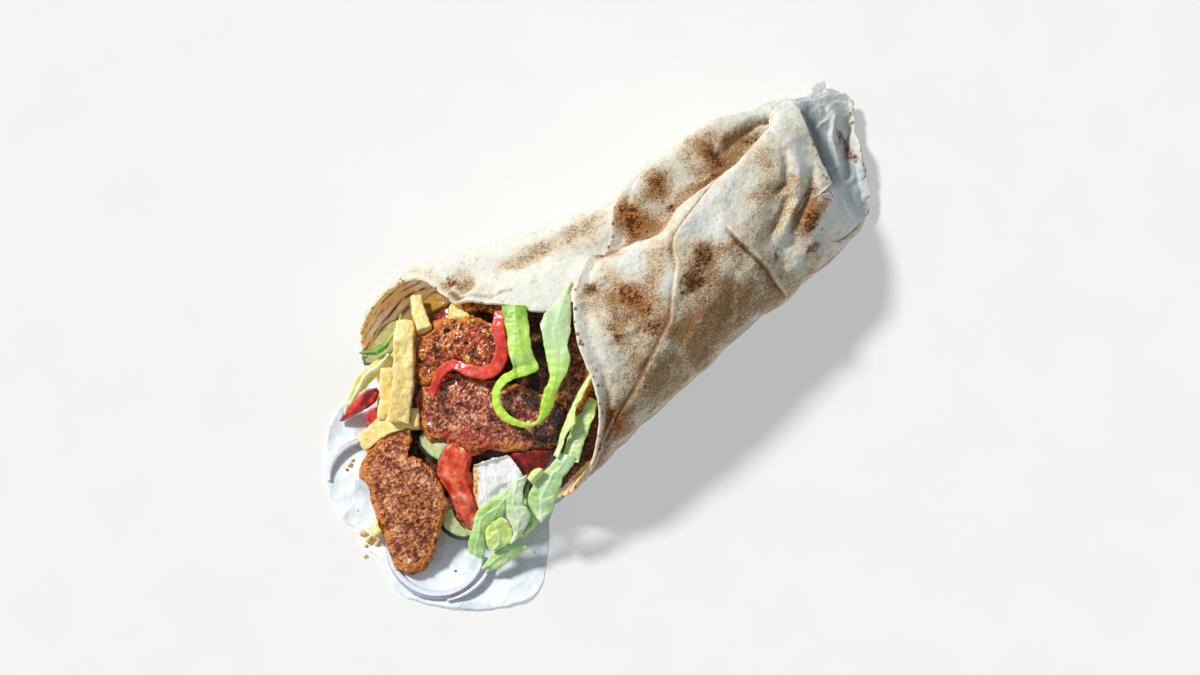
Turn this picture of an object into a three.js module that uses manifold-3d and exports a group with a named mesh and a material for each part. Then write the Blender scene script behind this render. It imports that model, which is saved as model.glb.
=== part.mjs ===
// A doner kebab wrap lying on its side: one thin round flatbread rolled into a cone round
// sliced meat, salad and fries, with its mouth towards -X and its tucked tail towards +X,
// resting on a torn piece of greaseproof paper. Millimetres, +Z up, origin on the surface
// that the paper lies on, +Y towards the side where the rolled sheet ends.

import * as THREE from "three";
import { mergeVertices } from "three/addons/utils/BufferGeometryUtils.js";
import Module from "manifold-3d";

const wasm = await Module();
wasm.setup();

// ---- driving dimensions -------------------------------------------------------------

const PAPER = 0.9; // thickness of the crumpled paper, with its creases
const GAP = 0.35; // clearance between a filling and the bread or paper that it touches
const PIECE_GAP = 0.5; // clearance between two fillings, measured across; less on a slope
const SHEET = 1.8; // thickness of the flatbread
const TURN_GAP = 0.4; // clearance between one turn of the bread and the next
const PITCH = SHEET + TURN_GAP; // how far the roll grows in one full turn
const BREAD_FLOOR = PAPER + TURN_GAP; // height of the lowest bread above the table
const FLOOR_TOP = BREAD_FLOOR + SHEET; // upper face of the bread under the filling
const ON_PAPER = PAPER + GAP; // lowest height of what lies on the paper

// Winding angle of the sheet in degrees: 0 at the +Y side, 90 underneath, 180 at the -Y
// side, 270 over the top. The inner free edge is at WIND_START, the outer at WIND_END.
const WIND_START = -195;
const WIND_END = 380;
const UNDER = 90;
const OVER = 270;

// Each table is a list of [place, value] knots, read by smooth(); places along the wrap
// are millimetres in X, places round it are winding angles.
const TOP_HEIGHT = [
  [-112, 46], [-100, 50], [-68, 57], [-40, 62], [0, 64.5], [45, 64],
  [79, 59], [98, 53], [112, 45], [127, 33], [140, 19.5], [151, 10.8],
];
const HALF_WIDTH = [
  [-112, 46], [-100, 51.5], [-89, 57], [-68, 61.8], [-45, 57.8], [-22, 51.5], [24, 42.6],
  [45, 40.8], [79, 39.8], [98, 37.5], [112, 34.6], [127, 30.5], [140, 26.5], [152, 21.5],
];
// The tail is pressed flat along a slanted line: at the -Y side the roll comes down this
// much earlier than at the +Y side
const TAIL_SLANT = [[90, 0], [110, 14], [125, 28], [152, 28]];
const SLANT_EASE = 1.2; // above 1, the slant keeps closer to the -Y side
const MIDDLE = [
  [-112, -3], [-68, -0.8], [-22, -2.9], [24, -4.2], [45, -1.6],
  [79, 1.6], [98, 2], [112, 3.5], [127, 5.5], [152, 10],
];
const LOWER_SQUARENESS = [[-112, 2], [-66, 2.15], [-10, 2.7], [152, 2.8]];
const UPPER_SQUARENESS = 2.05;
const SIDE_DEPTH = 3; // from the roll's outside to the middle of its innermost turn
const FRONT_EDGE = [
  [-195, 12], [-130, 4], [-100, -4], [-86, -15], [-84, -27], [-70, -42], [-64, -48],
  [-57, -57], [-47, -58.5], [-33, -61.5], [-22, -69], [-12, -80], [0, -90], [15, -96],
  [35, -99], [90, -100], [120, -95], [140, -84], [152, -70], [165, -60], [181, -52],
  [207, -39], [228, -30], [257, -24], [278, -13], [291, 0], [305, 13], [323, 32],
  [332, 47], [350, 60], [380, 74],
];
const TAIL_EDGE = [
  [-195, 124], [-150, 131], [-120, 136], [-90, 141], [-60, 148], [-40, 150], [-29, 147],
  [-22, 141], [-16, 143], [-6, 142], [30, 142], [60, 141], [90, 138], [120, 134],
  [150, 127], [177, 115], [190, 103], [205, 96.5], [225, 97], [235, 106], [241, 111.5],
  [261, 114], [284, 117], [320, 121.5], [380, 117],
];

// Folds in the bread: each is a line of [winding angle, X] points over the top half, with
// how far it stands out (or sinks in), and its width on the line's left and on its right.
const FOLDS = [
  {
    line: [
      [298, 10], [297, 24], [291, 33], [298, 42], [300, 53], [300, 64], [299, 76],
      [309, 88], [319, 100],
    ],
    out: -12, left: 7, right: 13,
  },
  {
    line: [[305, 10], [314, 24], [320, 36], [325, 48], [328, 60], [327, 76], [332, 94]],
    out: 4, left: 9, right: 9,
  },
  { line: [[280, 36], [277, 46], [278, 62], [289, 78]], out: 2, left: 6, right: 6 },
  { line: [[274, 34], [263, 27], [235, 12], [213, -13]], out: 1.2, left: 8, right: 8 },
  { line: [[262, 56], [246, 58], [228, 61], [205, 64], [173, 68]], out: 2.2, left: 7, right: 7 },
  { line: [[258, 88], [248, 80], [236, 72], [214, 70]], out: -3, left: 6, right: 6 },
  { line: [[278, 112], [262, 106], [247, 97], [234, 85], [222, 80]], out: -3, left: 6, right: 6 },
  { line: [[290, 130], [262, 122], [232, 117]], out: -2.4, left: 7, right: 7 },
  { line: [[350, 141], [340, 146]], out: 6, left: 6, right: 6 },
  { line: [[318, -64], [308, -30], [304, -4], [306, 14]], out: -3.4, left: 10, right: 8 },
];
const FOLD_RADIUS = 45; // typical radius of the roll, for distances measured round it

// Height of the filling where it shows at the mouth, along X, and how it falls to the sides
const HEAP = [
  [-145, 2], [-135, 4], [-120, 11], [-105, 21], [-90, 31], [-75, 40],
  [-60, 47], [-45, 52], [-25, 55], [10, 57],
];
const HEAP_MIDDLE = -1;
const HEAP_HALF = 66;
const HEAP_SIDE_DROP = [[-110, 0.95], [-90, 0.8], [-70, 0.5], [-50, 0.38]];

// ---- small mathematics --------------------------------------------------------------

const radians = THREE.MathUtils.degToRad;

function smooth(table, place) {
  const last = table.length - 1;
  if (place <= table[0][0]) return table[0][1];
  if (place >= table[last][0]) return table[last][1];
  const i = table.findIndex((knot) => knot[0] > place) - 1;
  const [x0, y0] = table[i];
  const [x1, y1] = table[i + 1];
  const slope = (k) => {
    const a = table[Math.max(k - 1, 0)];
    const b = table[Math.min(k + 1, last)];
    return (b[1] - a[1]) / (b[0] - a[0]);
  };
  const t = (place - x0) / (x1 - x0);
  const w = x1 - x0;
  return (
    y0 * (1 + 2 * t) * (1 - t) ** 2 +
    y1 * t * t * (3 - 2 * t) +
    w * slope(i) * t * (1 - t) ** 2 -
    w * slope(i + 1) * t * t * (1 - t)
  );
}

// A repeatable lumpy height between about -1 and 1
function lumps(x, y, size, seed) {
  const u = x / size;
  const v = y / size;
  return (
    (Math.sin(u * 2.1 + v * 1.3 + seed) +
      Math.sin(u * -1.2 + v * 2.7 + seed * 1.7) +
      Math.sin(u * 3.4 - v * 2.2 + seed * 2.9) * 0.6) /
    2.6
  );
}

function segmentDistance(px, py, ax, ay, bx, by) {
  const length = (bx - ax) ** 2 + (by - ay) ** 2;
  const along = length ? ((px - ax) * (bx - ax) + (py - ay) * (by - ay)) / length : 0;
  const t = Math.min(1, Math.max(0, along));
  return Math.hypot(px - ax - t * (bx - ax), py - ay - t * (by - ay));
}

// ---- the roll's own surface ---------------------------------------------------------

function foldHeight(wind, x) {
  const round = radians(((wind % 360) + 360) % 360) * FOLD_RADIUS;
  let height = 0;
  for (const { line, out, left, right } of FOLDS) {
    let nearest = Infinity;
    let width = left;
    for (let i = 0; i + 1 < line.length; i++) {
      const [w0, x0] = line[i];
      const [w1, x1] = line[i + 1];
      const a = radians(w0) * FOLD_RADIUS;
      const b = radians(w1) * FOLD_RADIUS;
      const away = segmentDistance(round, x, a, x0, b, x1);
      if (away >= nearest) continue;
      nearest = away;
      width = (b - a) * (x - x0) > (x1 - x0) * (round - a) ? left : right;
    }
    height += out * Math.exp(-((nearest / width) ** 2));
  }
  return height;
}

// A point of the roll at a winding angle, at x, and `out` millimetres outside the middle
// of the innermost turn. The lower half is squarer than the upper, as the wrap sags.
function rollPoint(wind, x, out) {
  const angle = radians(-wind);
  const growthUnder = (PITCH * (UNDER - WIND_START)) / 360;
  const growthOver = (PITCH * (OVER - WIND_START)) / 360;
  const slant = smooth(TAIL_SLANT, x) * ((1 - Math.cos(angle)) / 2) ** SLANT_EASE;
  const top = smooth(TOP_HEIGHT, x + slant);
  const halfHeight = (top - BREAD_FLOOR - SHEET - growthUnder - growthOver) / 2;
  const axis = BREAD_FLOOR + SHEET / 2 + growthUnder + halfHeight;
  const c = Math.cos(angle);
  const s = Math.sin(angle);
  const power = 2 / (s > 0 ? UPPER_SQUARENESS : smooth(LOWER_SQUARENESS, x));
  const fold = foldHeight(wind, x);
  return [
    x,
    smooth(MIDDLE, x) +
      (smooth(HALF_WIDTH, x) - SIDE_DEPTH + out + fold) * Math.sign(c) * Math.abs(c) ** power,
    axis + (halfHeight + out + fold) * Math.sign(s) * Math.abs(s) ** power,
  ];
}

function turnOffset(wind) {
  return (PITCH * (wind - WIND_START)) / 360;
}

function heapHeight(x, y) {
  const side = Math.min(1, Math.abs(y - HEAP_MIDDLE) / HEAP_HALF);
  return smooth(HEAP, x) * (1 - smooth(HEAP_SIDE_DROP, x) * side * side);
}

// ---- making solids ------------------------------------------------------------------

// A closed solid from corner points and triangles, turned to face outwards
function solidFrom(points, triangles) {
  const geometry = new THREE.BufferGeometry();
  geometry.setAttribute("position", new THREE.Float32BufferAttribute(points.flat(), 3));
  geometry.setIndex(triangles.flat());
  const merged = mergeVertices(geometry, 1e-3);
  const vertProperties = merged.attributes.position.array;
  const triVerts = new Uint32Array(merged.index.array);
  const corner = (i) => new THREE.Vector3().fromArray(vertProperties, triVerts[i] * 3);
  let volume = 0;
  for (let i = 0; i < triVerts.length; i += 3) {
    volume += corner(i).dot(corner(i + 1).cross(corner(i + 2)));
  }
  if (volume < 0) {
    for (let i = 0; i < triVerts.length; i += 3) {
      [triVerts[i + 1], triVerts[i + 2]] = [triVerts[i + 2], triVerts[i + 1]];
    }
  }
  return new wasm.Manifold(new wasm.Mesh({ numProp: 3, vertProperties, triVerts }));
}

function largestBody(solid) {
  const bodies = solid.decompose();
  return bodies.reduce((best, body) => (body.volume() > best.volume() ? body : best));
}

// Two grids of points, an outer and an inner face, stitched along their border
function stitchedSheet(outer, inner) {
  const rows = outer.length;
  const columns = outer[0].length;
  const points = [...outer.flat(), ...inner.flat()];
  const at = (face, i, j) => face * rows * columns + i * columns + j;
  const triangles = [];
  for (let i = 0; i + 1 < rows; i++) {
    for (let j = 0; j + 1 < columns; j++) {
      for (const face of [0, 1]) {
        const [a, b] = [at(face, i, j), at(face, i + 1, j)];
        const [d, c] = [at(face, i, j + 1), at(face, i + 1, j + 1)];
        triangles.push(face ? [a, c, b] : [a, b, c], face ? [a, d, c] : [a, c, d]);
      }
    }
  }
  const border = [];
  for (let i = 0; i + 1 < rows; i++) border.push([i, 0, i + 1, 0]);
  for (let j = 0; j + 1 < columns; j++) border.push([rows - 1, j, rows - 1, j + 1]);
  for (let i = rows - 1; i > 0; i--) border.push([i, columns - 1, i - 1, columns - 1]);
  for (let j = columns - 1; j > 0; j--) border.push([0, j, 0, j - 1]);
  for (const [i0, j0, i1, j1] of border) {
    const [a, b] = [at(0, i0, j0), at(0, i1, j1)];
    const [c, d] = [at(1, i0, j0), at(1, i1, j1)];
    triangles.push([a, d, b], [a, c, d]);
  }
  return solidFrom(points, triangles);
}

// The rolled sheet between two winding angles, thicker and wider by `grow` on every side
function breadSheet(winds, rows, grow = 0) {
  const endTurn = THREE.MathUtils.radToDeg(grow / FOLD_RADIUS);
  const last = winds.length - 1;
  const face = (side) =>
    winds.map((wind, i) => {
      const angle = wind + (i === 0 ? -endTurn : i === last ? endTurn : 0);
      const front = smooth(FRONT_EDGE, wind) - grow;
      const back = smooth(TAIL_EDGE, wind) + grow;
      const out = turnOffset(wind) + side * (SHEET / 2 + grow);
      return Array.from({ length: rows + 1 }, (_, j) =>
        rollPoint(angle, front + ((back - front) * j) / rows, out),
      );
    });
  return stitchedSheet(face(1), face(-1));
}

function steps(from, to, count) {
  return Array.from({ length: count }, (_, i) => from + ((to - from) * i) / count);
}

const BREAD_WINDS = [
  ...steps(WIND_START, -95, 5),
  ...steps(-95, 10, 11),
  ...steps(10, 150, 8),
  ...steps(150, 345, 25),
  ...steps(345, WIND_END, 2),
  WIND_END,
];
const BREAD_ROWS = 20;

// Triangles over rings of points that run from one pole to the other; the two poles are
// the last two points
function ringTriangles(rings, sides) {
  const at = (ring, k) => ring * sides + (k % sides);
  const [firstPole, lastPole] = [rings * sides, rings * sides + 1];
  const triangles = [];
  for (let k = 0; k < sides; k++) {
    for (let ring = 0; ring + 1 < rings; ring++) {
      triangles.push(
        [at(ring, k), at(ring + 1, k), at(ring + 1, k + 1)],
        [at(ring, k), at(ring + 1, k + 1), at(ring, k + 1)],
      );
    }
    triangles.push([firstPole, at(0, k), at(0, k + 1)]);
    triangles.push([lastPole, at(rings - 1, k + 1), at(rings - 1, k)]);
  }
  return triangles;
}

// Points evenly spread round a smooth closed line through the plan's corners
function rimOf(outline, sides) {
  const corners = outline.map(([x, y]) => new THREE.Vector3(x, y, 0));
  const curve = new THREE.CatmullRomCurve3(corners, true, "centripetal");
  return curve.getPoints(sides).slice(0, sides);
}

// The plan as spokes: from its middle towards each rim point, with that point's distance
function spokesOf(outline, sides) {
  const cx = outline.reduce((sum, p) => sum + p[0], 0) / outline.length;
  const cy = outline.reduce((sum, p) => sum + p[1], 0) / outline.length;
  return rimOf(outline, sides).map((rim) => {
    const reach = Math.hypot(rim.x - cx, rim.y - cy);
    return { cx, cy, reach, towardsX: (rim.x - cx) / reach, towardsY: (rim.y - cy) / reach };
  });
}

// A slab lying on the heap: `outline` is its plan, `lift` its height over the heap
function slab(shape, grow = 0) {
  const { outline, lift, thick, crown = 0.8, rough = 0.5, lump = 9, seed = 1 } = shape;
  const { sides = outline.length } = shape;
  const spokes = spokesOf(outline, sides);
  const rimRound = Math.min(thick * 0.45, 2);
  const points = [];
  const ringPoint = (share, inset, k, level) => {
    const { cx, cy, reach, towardsX, towardsY } = spokes[k];
    const r = share * Math.max(reach - inset, 0.5);
    const [x, y] = [cx + towardsX * r, cy + towardsY * r];
    const domed = lift + crown * (1 - (r / reach) ** 2) + rough * lumps(x, y, lump, seed);
    const middle = Math.max(heapHeight(x, y) + domed, ON_PAPER + thick) - thick / 2;
    const wider = share * grow;
    return [x + towardsX * wider, y + towardsY * wider, middle + level * (thick / 2 + grow)];
  };
  const rings = [
    [0.55, rimRound, 1], [1, rimRound, 1], [1, 0, 0], [1, rimRound, -1], [0.55, rimRound, -1],
  ];
  for (const [share, inset, level] of rings) {
    for (let k = 0; k < sides; k++) points.push(ringPoint(share, inset, k, level));
  }
  points.push(ringPoint(0, rimRound, 0, 1), ringPoint(0, rimRound, 0, -1));
  return solidFrom(points, ringTriangles(rings.length, sides));
}

// A strip along a curve: `path` holds [x, y, z] points, `width` and `tilt` (degrees about
// the path, 0 = lying flat) are tables along it from 0 to 1
function strip(shape, grow = 0) {
  const { path, width, thick, tilt = [[0, 0], [1, 0]], stations = 12, columns = 1 } = shape;
  const places = path.map((p) => new THREE.Vector3(...p));
  const curve = new THREE.CatmullRomCurve3(places, false, "centripetal");
  const up = new THREE.Vector3(0, 0, 1);
  const face = (level) =>
    Array.from({ length: stations + 1 }, (_, i) => {
      const share = i / stations;
      const middle = curve.getPointAt(share);
      const ahead = curve.getTangentAt(share);
      if (i === 0) middle.addScaledVector(ahead, -grow);
      if (i === stations) middle.addScaledVector(ahead, grow);
      const side = new THREE.Vector3().crossVectors(up, ahead).normalize();
      side.applyAxisAngle(ahead, radians(smooth(tilt, share)));
      const normal = new THREE.Vector3().crossVectors(ahead, side);
      const half = smooth(width, share) / 2 + grow;
      return Array.from({ length: columns + 1 }, (_, k) =>
        middle.clone()
          .addScaledVector(side, ((2 * k) / columns - 1) * half)
          .addScaledVector(normal, level * (thick / 2 + grow))
          .toArray(),
      );
    });
  return stitchedSheet(face(1), face(-1));
}

// A thin leaf: plan outline, waves along its length, both faces split alike
function leaf(shape, grow = 0) {
  const { outline, lift, thick = 1, wave = 1.4, waveLength = 6, seed = 1, sides = outline.length } = shape;
  const spokes = spokesOf(outline, sides);
  const shares = sides < 18 ? [0.6, 1] : [0.36, 0.7, 1];
  const point = (share, k, level) => {
    const { cx, cy, reach, towardsX, towardsY } = spokes[k];
    const [x, y] = [cx + towardsX * share * reach, cy + towardsY * share * reach];
    const ruffle = wave * share * lumps(x, y, waveLength, seed);
    const middle = Math.max(heapHeight(x, y) + lift + ruffle, ON_PAPER + thick);
    const wider = share * grow;
    return [x + towardsX * wider, y + towardsY * wider, middle + level * (thick / 2 + grow)];
  };
  const ring = (share, level) => spokes.map((_, k) => point(share, k, level));
  const upper = shares.map((share) => ring(share, 1));
  const lower = shares.toReversed().map((share) => ring(share, -1));
  const rings = [...upper, ...lower];
  const poles = [point(0, 0, 1), point(0, 0, -1)];
  return solidFrom([...rings.flat(), ...poles], ringTriangles(rings.length, sides));
}

// Triangles along a tube of equal cross-sections, with a flat cap at each end
function tubeTriangles(stations, sides) {
  const at = (i, k) => i * sides + (k % sides);
  const triangles = [];
  for (let i = 0; i < stations; i++) {
    for (let k = 0; k < sides; k++) {
      triangles.push([at(i, k), at(i + 1, k), at(i + 1, k + 1)]);
      triangles.push([at(i, k), at(i + 1, k + 1), at(i, k + 1)]);
    }
  }
  for (let k = 1; k + 1 < sides; k++) {
    triangles.push([at(0, 0), at(0, k), at(0, k + 1)]);
    triangles.push([at(stations, 0), at(stations, k + 1), at(stations, k)]);
  }
  return triangles;
}

// Cross-section of an onion layer, as shares of its width and height
const ONION_SECTION = [[-0.5, 0.1], [-0.35, 0.9], [0.3, 1], [0.5, 0.45], [0.4, 0]];

// A part of an onion ring lying on the paper, thinner towards both of its ends
function onionArc({ centre, radii, from, to, width, height, stations = 16 }, grow = 0) {
  const sections = Array.from({ length: stations + 1 }, (_, i) => {
    const share = i / stations;
    const angle = radians(from + (to - from) * share);
    const thin = 0.55 + 0.45 * Math.sin(Math.PI * Math.min(1, Math.max(0.12, share * 1.1)));
    return ONION_SECTION.map(([across, upward]) => {
      const reach = across * width * thin + Math.sign(across) * grow;
      const lifted = upward * height * thin + (upward > 0.5 ? grow : upward < 0.2 ? -grow : 0);
      return [
        centre[0] + (radii[0] + reach) * Math.cos(angle),
        centre[1] + (radii[1] + reach) * Math.sin(angle),
        ON_PAPER + lifted,
      ];
    });
  });
  return solidFrom(sections.flat(), tubeTriangles(stations, ONION_SECTION.length));
}

// ---- the bread, the paper and the meat inside ---------------------------------------

const CORE_CLEAR = SHEET / 2 + 0.6; // from the middle of the innermost turn to the meat
const CORE_FRONT = -110;
const CORE_BACK = 122;
const CORE_BACK_SHARE = 0.9; // how full the last cross-section is
const CORE_TOE = [[-110, 0.45], [-104, 0.65], [-96, 0.85], [-86, 0.96], [-76, 1]]; // -Y side
const CORE_TOE_LEFT = [[-110, 0.3], [-96, 0.55], [-80, 0.7], [-62, 0.82], [-40, 1]]; // +Y side
// How far the core stays below the heap's top: under the slices at the mouth, and not at all
// further in, where it fills the roll
const CORE_UNDER_SLICES = [[-110, 3], [-90, 7], [-60, 9], [-22, 9], [-2, -14]];
const CORE_LUMP = 1.1;
const CORE_THINNEST = 1.5;
const BREAD_LIP = -99; // in front of this X the meat lies on the paper, behind it on the bread
const CORE_STATIONS = 18;
const CORE_SIDES = 16;

// The packed meat under the fillings that show, filling the roll from its mouth to its tail
function meatCore() {
  const sections = Array.from({ length: CORE_STATIONS + 1 }, (_, i) => {
    const x = CORE_FRONT + ((CORE_BACK - CORE_FRONT) * i) / CORE_STATIONS;
    const end = i === CORE_STATIONS ? CORE_BACK_SHARE : 1;
    const middle = smooth(MIDDLE, x);
    return Array.from({ length: CORE_SIDES }, (_, k) => {
      const wind = (360 * k) / CORE_SIDES;
      const [, y, z] = rollPoint(wind, x, -CORE_CLEAR);
      const packed = CORE_LUMP * (lumps(x * 1.3, wind * 0.7, 9, 4) - 1);
      const toe = smooth(y > middle ? CORE_TOE_LEFT : CORE_TOE, x);
      const narrow = middle + (y - middle) * toe * end;
      const under = heapHeight(x, narrow) - smooth(CORE_UNDER_SLICES, x) + packed;
      const floor = x < BREAD_LIP ? ON_PAPER : FLOOR_TOP + GAP;
      return [x, narrow, Math.max(Math.min(z, Math.max(under, floor + CORE_THINNEST)), floor)];
    });
  });
  return solidFrom(sections.flat(), tubeTriangles(CORE_STATIONS, CORE_SIDES));
}

// The paper: flat on the table, torn round the mouth of the wrap and hidden under the rest
const PAPER_OUTLINE = [
  [-130, 25], [-142, 8], [-145, -12], [-142, -19], [-144, -26], [-141, -34], [-142, -52],
  [-136, -61], [-117, -78], [-97, -86], [-90, -85], [-76, -71], [-66, -58], [-44, -55],
  [-12, -48], [40, -39], [95, -30], [122, -20], [136, 4], [140, 24], [128, 32], [76, 36],
  [30, 34], [-20, 42], [-66, 52], [-96, 42], [-118, 32],
];
const PAPER_SIDES = 58;

function paperSheet() {
  const rim = rimOf(PAPER_OUTLINE, PAPER_SIDES);
  const shape = new THREE.Shape(rim.map((p) => new THREE.Vector2(p.x, p.y)));
  const geometry = new THREE.ExtrudeGeometry(shape, { depth: PAPER, bevelEnabled: false });
  geometry.deleteAttribute("normal");
  geometry.deleteAttribute("uv");
  const merged = mergeVertices(geometry, 1e-3);
  return new wasm.Manifold(new wasm.Mesh({
    numProp: 3,
    vertProperties: merged.attributes.position.array,
    triVerts: new Uint32Array(merged.index.array),
  }));
}

// ---- the fillings that show at the mouth --------------------------------------------

const MEAT = { color: 0x8a4a24, roughness: 0.7 };
const TOMATO = { color: 0xc4321c, roughness: 0.35 };
const PEPPER = { color: 0xcf3d1a, roughness: 0.3 };
const FRY = { color: 0xeabd57, roughness: 0.6 };
const LETTUCE = { color: 0xa9d07a, roughness: 0.5 };
const PALE_LETTUCE = { color: 0xc7e2a6, roughness: 0.5 };
const CUCUMBER = { color: 0xa9a25e, roughness: 0.4 };
const PICKLE = { color: 0x91863a, roughness: 0.4 };
const FRIED_ONION = { color: 0xb9803a, roughness: 0.6 };
const ONION = { color: 0xc9c3d6, roughness: 0.35 };
const CHICKEN = { color: 0xeeefe8, roughness: 0.6 };
const HERB = { color: 0x4c7a3a, roughness: 0.6 };

// Top pieces first: each piece is cut by every piece above it in this list
const FILLINGS = [
  { name: "pepper_strip", make: strip, finish: PEPPER, shape: {
    path: [[-43, 15, 57.2], [-48, 9, 57], [-52, 0, 55.8], [-58, -4, 53.6], [-63, -3, 51.8],
      [-68, 3, 49.4], [-72, 9, 47.4], [-78, 9, 44.4], [-86, 4, 40]],
    width: [[0, 5.5], [0.4, 6], [0.75, 4.6], [1, 3.6]], thick: 3, stations: 18,
    tilt: [[0, 20], [0.5, -8], [1, 10]] } },
  { name: "lettuce_ribbon", make: strip, finish: LETTUCE, shape: {
    path: [[-37, 12, 60.6], [-41, 5, 60.6], [-45.5, -4.5, 60.4], [-49, -14, 59.6]],
    width: [[0, 11], [0.5, 11.2], [1, 10.4]], thick: 1.1, columns: 2, tilt: [[0, 0], [0.5, 6], [1, -10]] } },
  { name: "lettuce_loop", make: strip, finish: PALE_LETTUCE, shape: {
    path: [[-46, -15.6, 57.6], [-51, -13.2, 56.6], [-57, -11.6, 54.8], [-62.5, -12.6, 53],
      [-66, -16.5, 51.8], [-66.6, -21.5, 51.4], [-64.5, -26.5, 51.4], [-60, -30.8, 51.9],
      [-55, -32.4, 53], [-50, -31, 54.8], [-45.5, -27.5, 57], [-40, -22.5, 59], [-35.5, -16.5, 60.2],
      [-31, -10, 61], [-27, -4, 61.4], [-21, 1.5, 61.2], [-12.5, 7, 60.6]],
    width: [[0, 5.6], [0.1, 4.6], [0.3, 4], [0.5, 4.2], [0.6, 6.4], [0.68, 7.6], [0.75, 11],
      [0.85, 12.4], [0.93, 9.5], [1, 2.4]],
    thick: 1.1, stations: 28, columns: 2,
    tilt: [[0, 6], [0.12, 26], [0.3, 40], [0.45, 32], [0.56, 5], [0.66, -10], [0.8, 6], [1, 0]] } },
  { name: "fry_small", make: strip, finish: FRY, shape: {
    path: [[-68, 45, 37.5], [-71, 38, 39], [-73, 30, 40.5]],
    width: [[0, 4.5], [1, 6.4]], thick: 5.5, stations: 6 } },
  { name: "meat_slice_front", make: slab, finish: MEAT, shape: {
    outline: [[-108, 4], [-103.5, 3], [-99.5, 1.5], [-101.5, -3], [-107.5, -7.5], [-104, -10.5],
      [-102.5, -16], [-101.5, -23], [-102, -30], [-103.5, -36], [-109, -39.5], [-115, -44.5],
      [-121.5, -49.5], [-127.5, -51.5], [-134, -49.8], [-137, -44], [-135.5, -34], [-133.5, -24],
      [-131, -14], [-128.5, -7], [-129.5, -1], [-126, 3], [-120, 6], [-113, 6]],
    lift: 4, thick: 5, crown: 1.6, rough: 0.9, lump: 8, seed: 2 } },
  { name: "fry_long", make: strip, finish: FRY, shape: {
    path: [[-77, 38, 38], [-84, 29, 37.6], [-92, 18, 34.4], [-103, 5, 28.6]],
    width: [[0, 8.4], [1, 9.2]], thick: 8, stations: 9, tilt: [[0, 8], [1, -6]] } },
  { name: "lettuce_leaf_tip", make: leaf, finish: PALE_LETTUCE, shape: {
    outline: [[-79, -44.5], [-74, -44.5], [-70.5, -46], [-71.5, -49], [-74, -51.5], [-76.5, -53.5],
      [-76.5, -57], [-77.5, -60.5], [-80, -63], [-84, -64], [-88, -65], [-92, -65.5], [-89.5, -61.5],
      [-87, -58.5], [-86.5, -55], [-84.5, -51], [-82, -47.5], [-80.5, -45.5]],
    lift: 5.4, wave: 1.6, seed: 3 } },
  { name: "lettuce_leaf_pale", make: leaf, finish: PALE_LETTUCE, shape: {
    outline: [[-95, -51], [-87, -52], [-86, -57], [-94, -62], [-100, -62], [-99, -56]],
    lift: 5.2, wave: 1.2, seed: 5, sides: 14 } },
  { name: "lettuce_leaf_low", make: leaf, finish: LETTUCE, shape: {
    outline: [[-94, -61], [-85, -64], [-84, -68], [-90, -70], [-99, -69], [-107, -65], [-99, -61]],
    lift: 3.4, wave: 1.2, seed: 7, sides: 14 } },
  { name: "lettuce_leaf_fold", make: leaf, finish: PALE_LETTUCE, shape: {
    outline: [[-72, -45], [-66, -46], [-62, -50], [-66, -53], [-72, -52]],
    lift: 6, wave: 1, seed: 11, sides: 12 } },
  { name: "lettuce_leaf_right", make: leaf, finish: LETTUCE, shape: {
    outline: [[-63, -46], [-51, -47], [-47, -51], [-54, -57], [-61, -60], [-68, -65], [-78, -66],
      [-77, -59], [-70, -51]],
    lift: 3.6, wave: 1.7, seed: 13, sides: 22 } },
  { name: "lettuce_leaf_left", make: leaf, finish: LETTUCE, shape: {
    outline: [[-79, -44], [-90, -43], [-99, -46], [-107, -54], [-107, -61], [-101, -62],
      [-96, -55], [-89, -53], [-83, -49]],
    lift: 2.8, wave: 1.7, seed: 17, sides: 20 } },
  { name: "lettuce_leaf_under", make: leaf, finish: LETTUCE, shape: {
    outline: [[-80, -58], [-72, -60], [-68, -61], [-74, -65], [-84, -67], [-90, -65], [-86, -60]],
    lift: 0.6, wave: 1.4, seed: 19, sides: 14 } },
  { name: "meat_slice_upper", make: slab, finish: MEAT, shape: {
    outline: [[-76, 31], [-72, 31], [-67, 33], [-62, 28.5], [-57, 24], [-52, 21], [-48.5, 16],
      [-47, 9], [-50, 3], [-54, -1], [-60, -3], [-66, 0], [-70, 5], [-73.5, 8.5], [-79, 9],
      [-85, 9.5], [-88, 13], [-87, 18.5], [-83.5, 23.5], [-81, 27.5]],
    lift: 3, thick: 4.6, crown: 1.4, rough: 1.5, lump: 6, seed: 4 } },
  { name: "meat_piece_top", make: slab, finish: MEAT, shape: {
    outline: [[-53, 32], [-46, 33], [-39, 25], [-41, 15], [-48, 20], [-55, 25]],
    lift: 2.2, thick: 6, crown: 1.6, rough: 0.8, lump: 5, seed: 6, sides: 14 } },
  { name: "potato_piece_back", make: slab, finish: FRY, shape: {
    outline: [[-61, 31], [-53, 34], [-49, 28], [-54, 21], [-62, 23]],
    lift: 0.6, thick: 6, crown: 1, rough: 0.3, seed: 24, sides: 12 } },
  { name: "chicken_slice", make: slab, finish: CHICKEN, shape: {
    outline: [[-88.5, -26.5], [-83, -25], [-77, -27], [-71.5, -32.5], [-69.5, -38], [-69.5, -43],
      [-71.5, -47], [-78, -48], [-84, -48], [-90, -47.8], [-95, -46.4], [-94, -39], [-92.5, -33],
      [-90.5, -28.5]],
    lift: 2.4, thick: 4.6, crown: 0.6, rough: 0.3, seed: 8 } },
  { name: "meat_slice_middle", make: slab, finish: MEAT, shape: {
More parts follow.
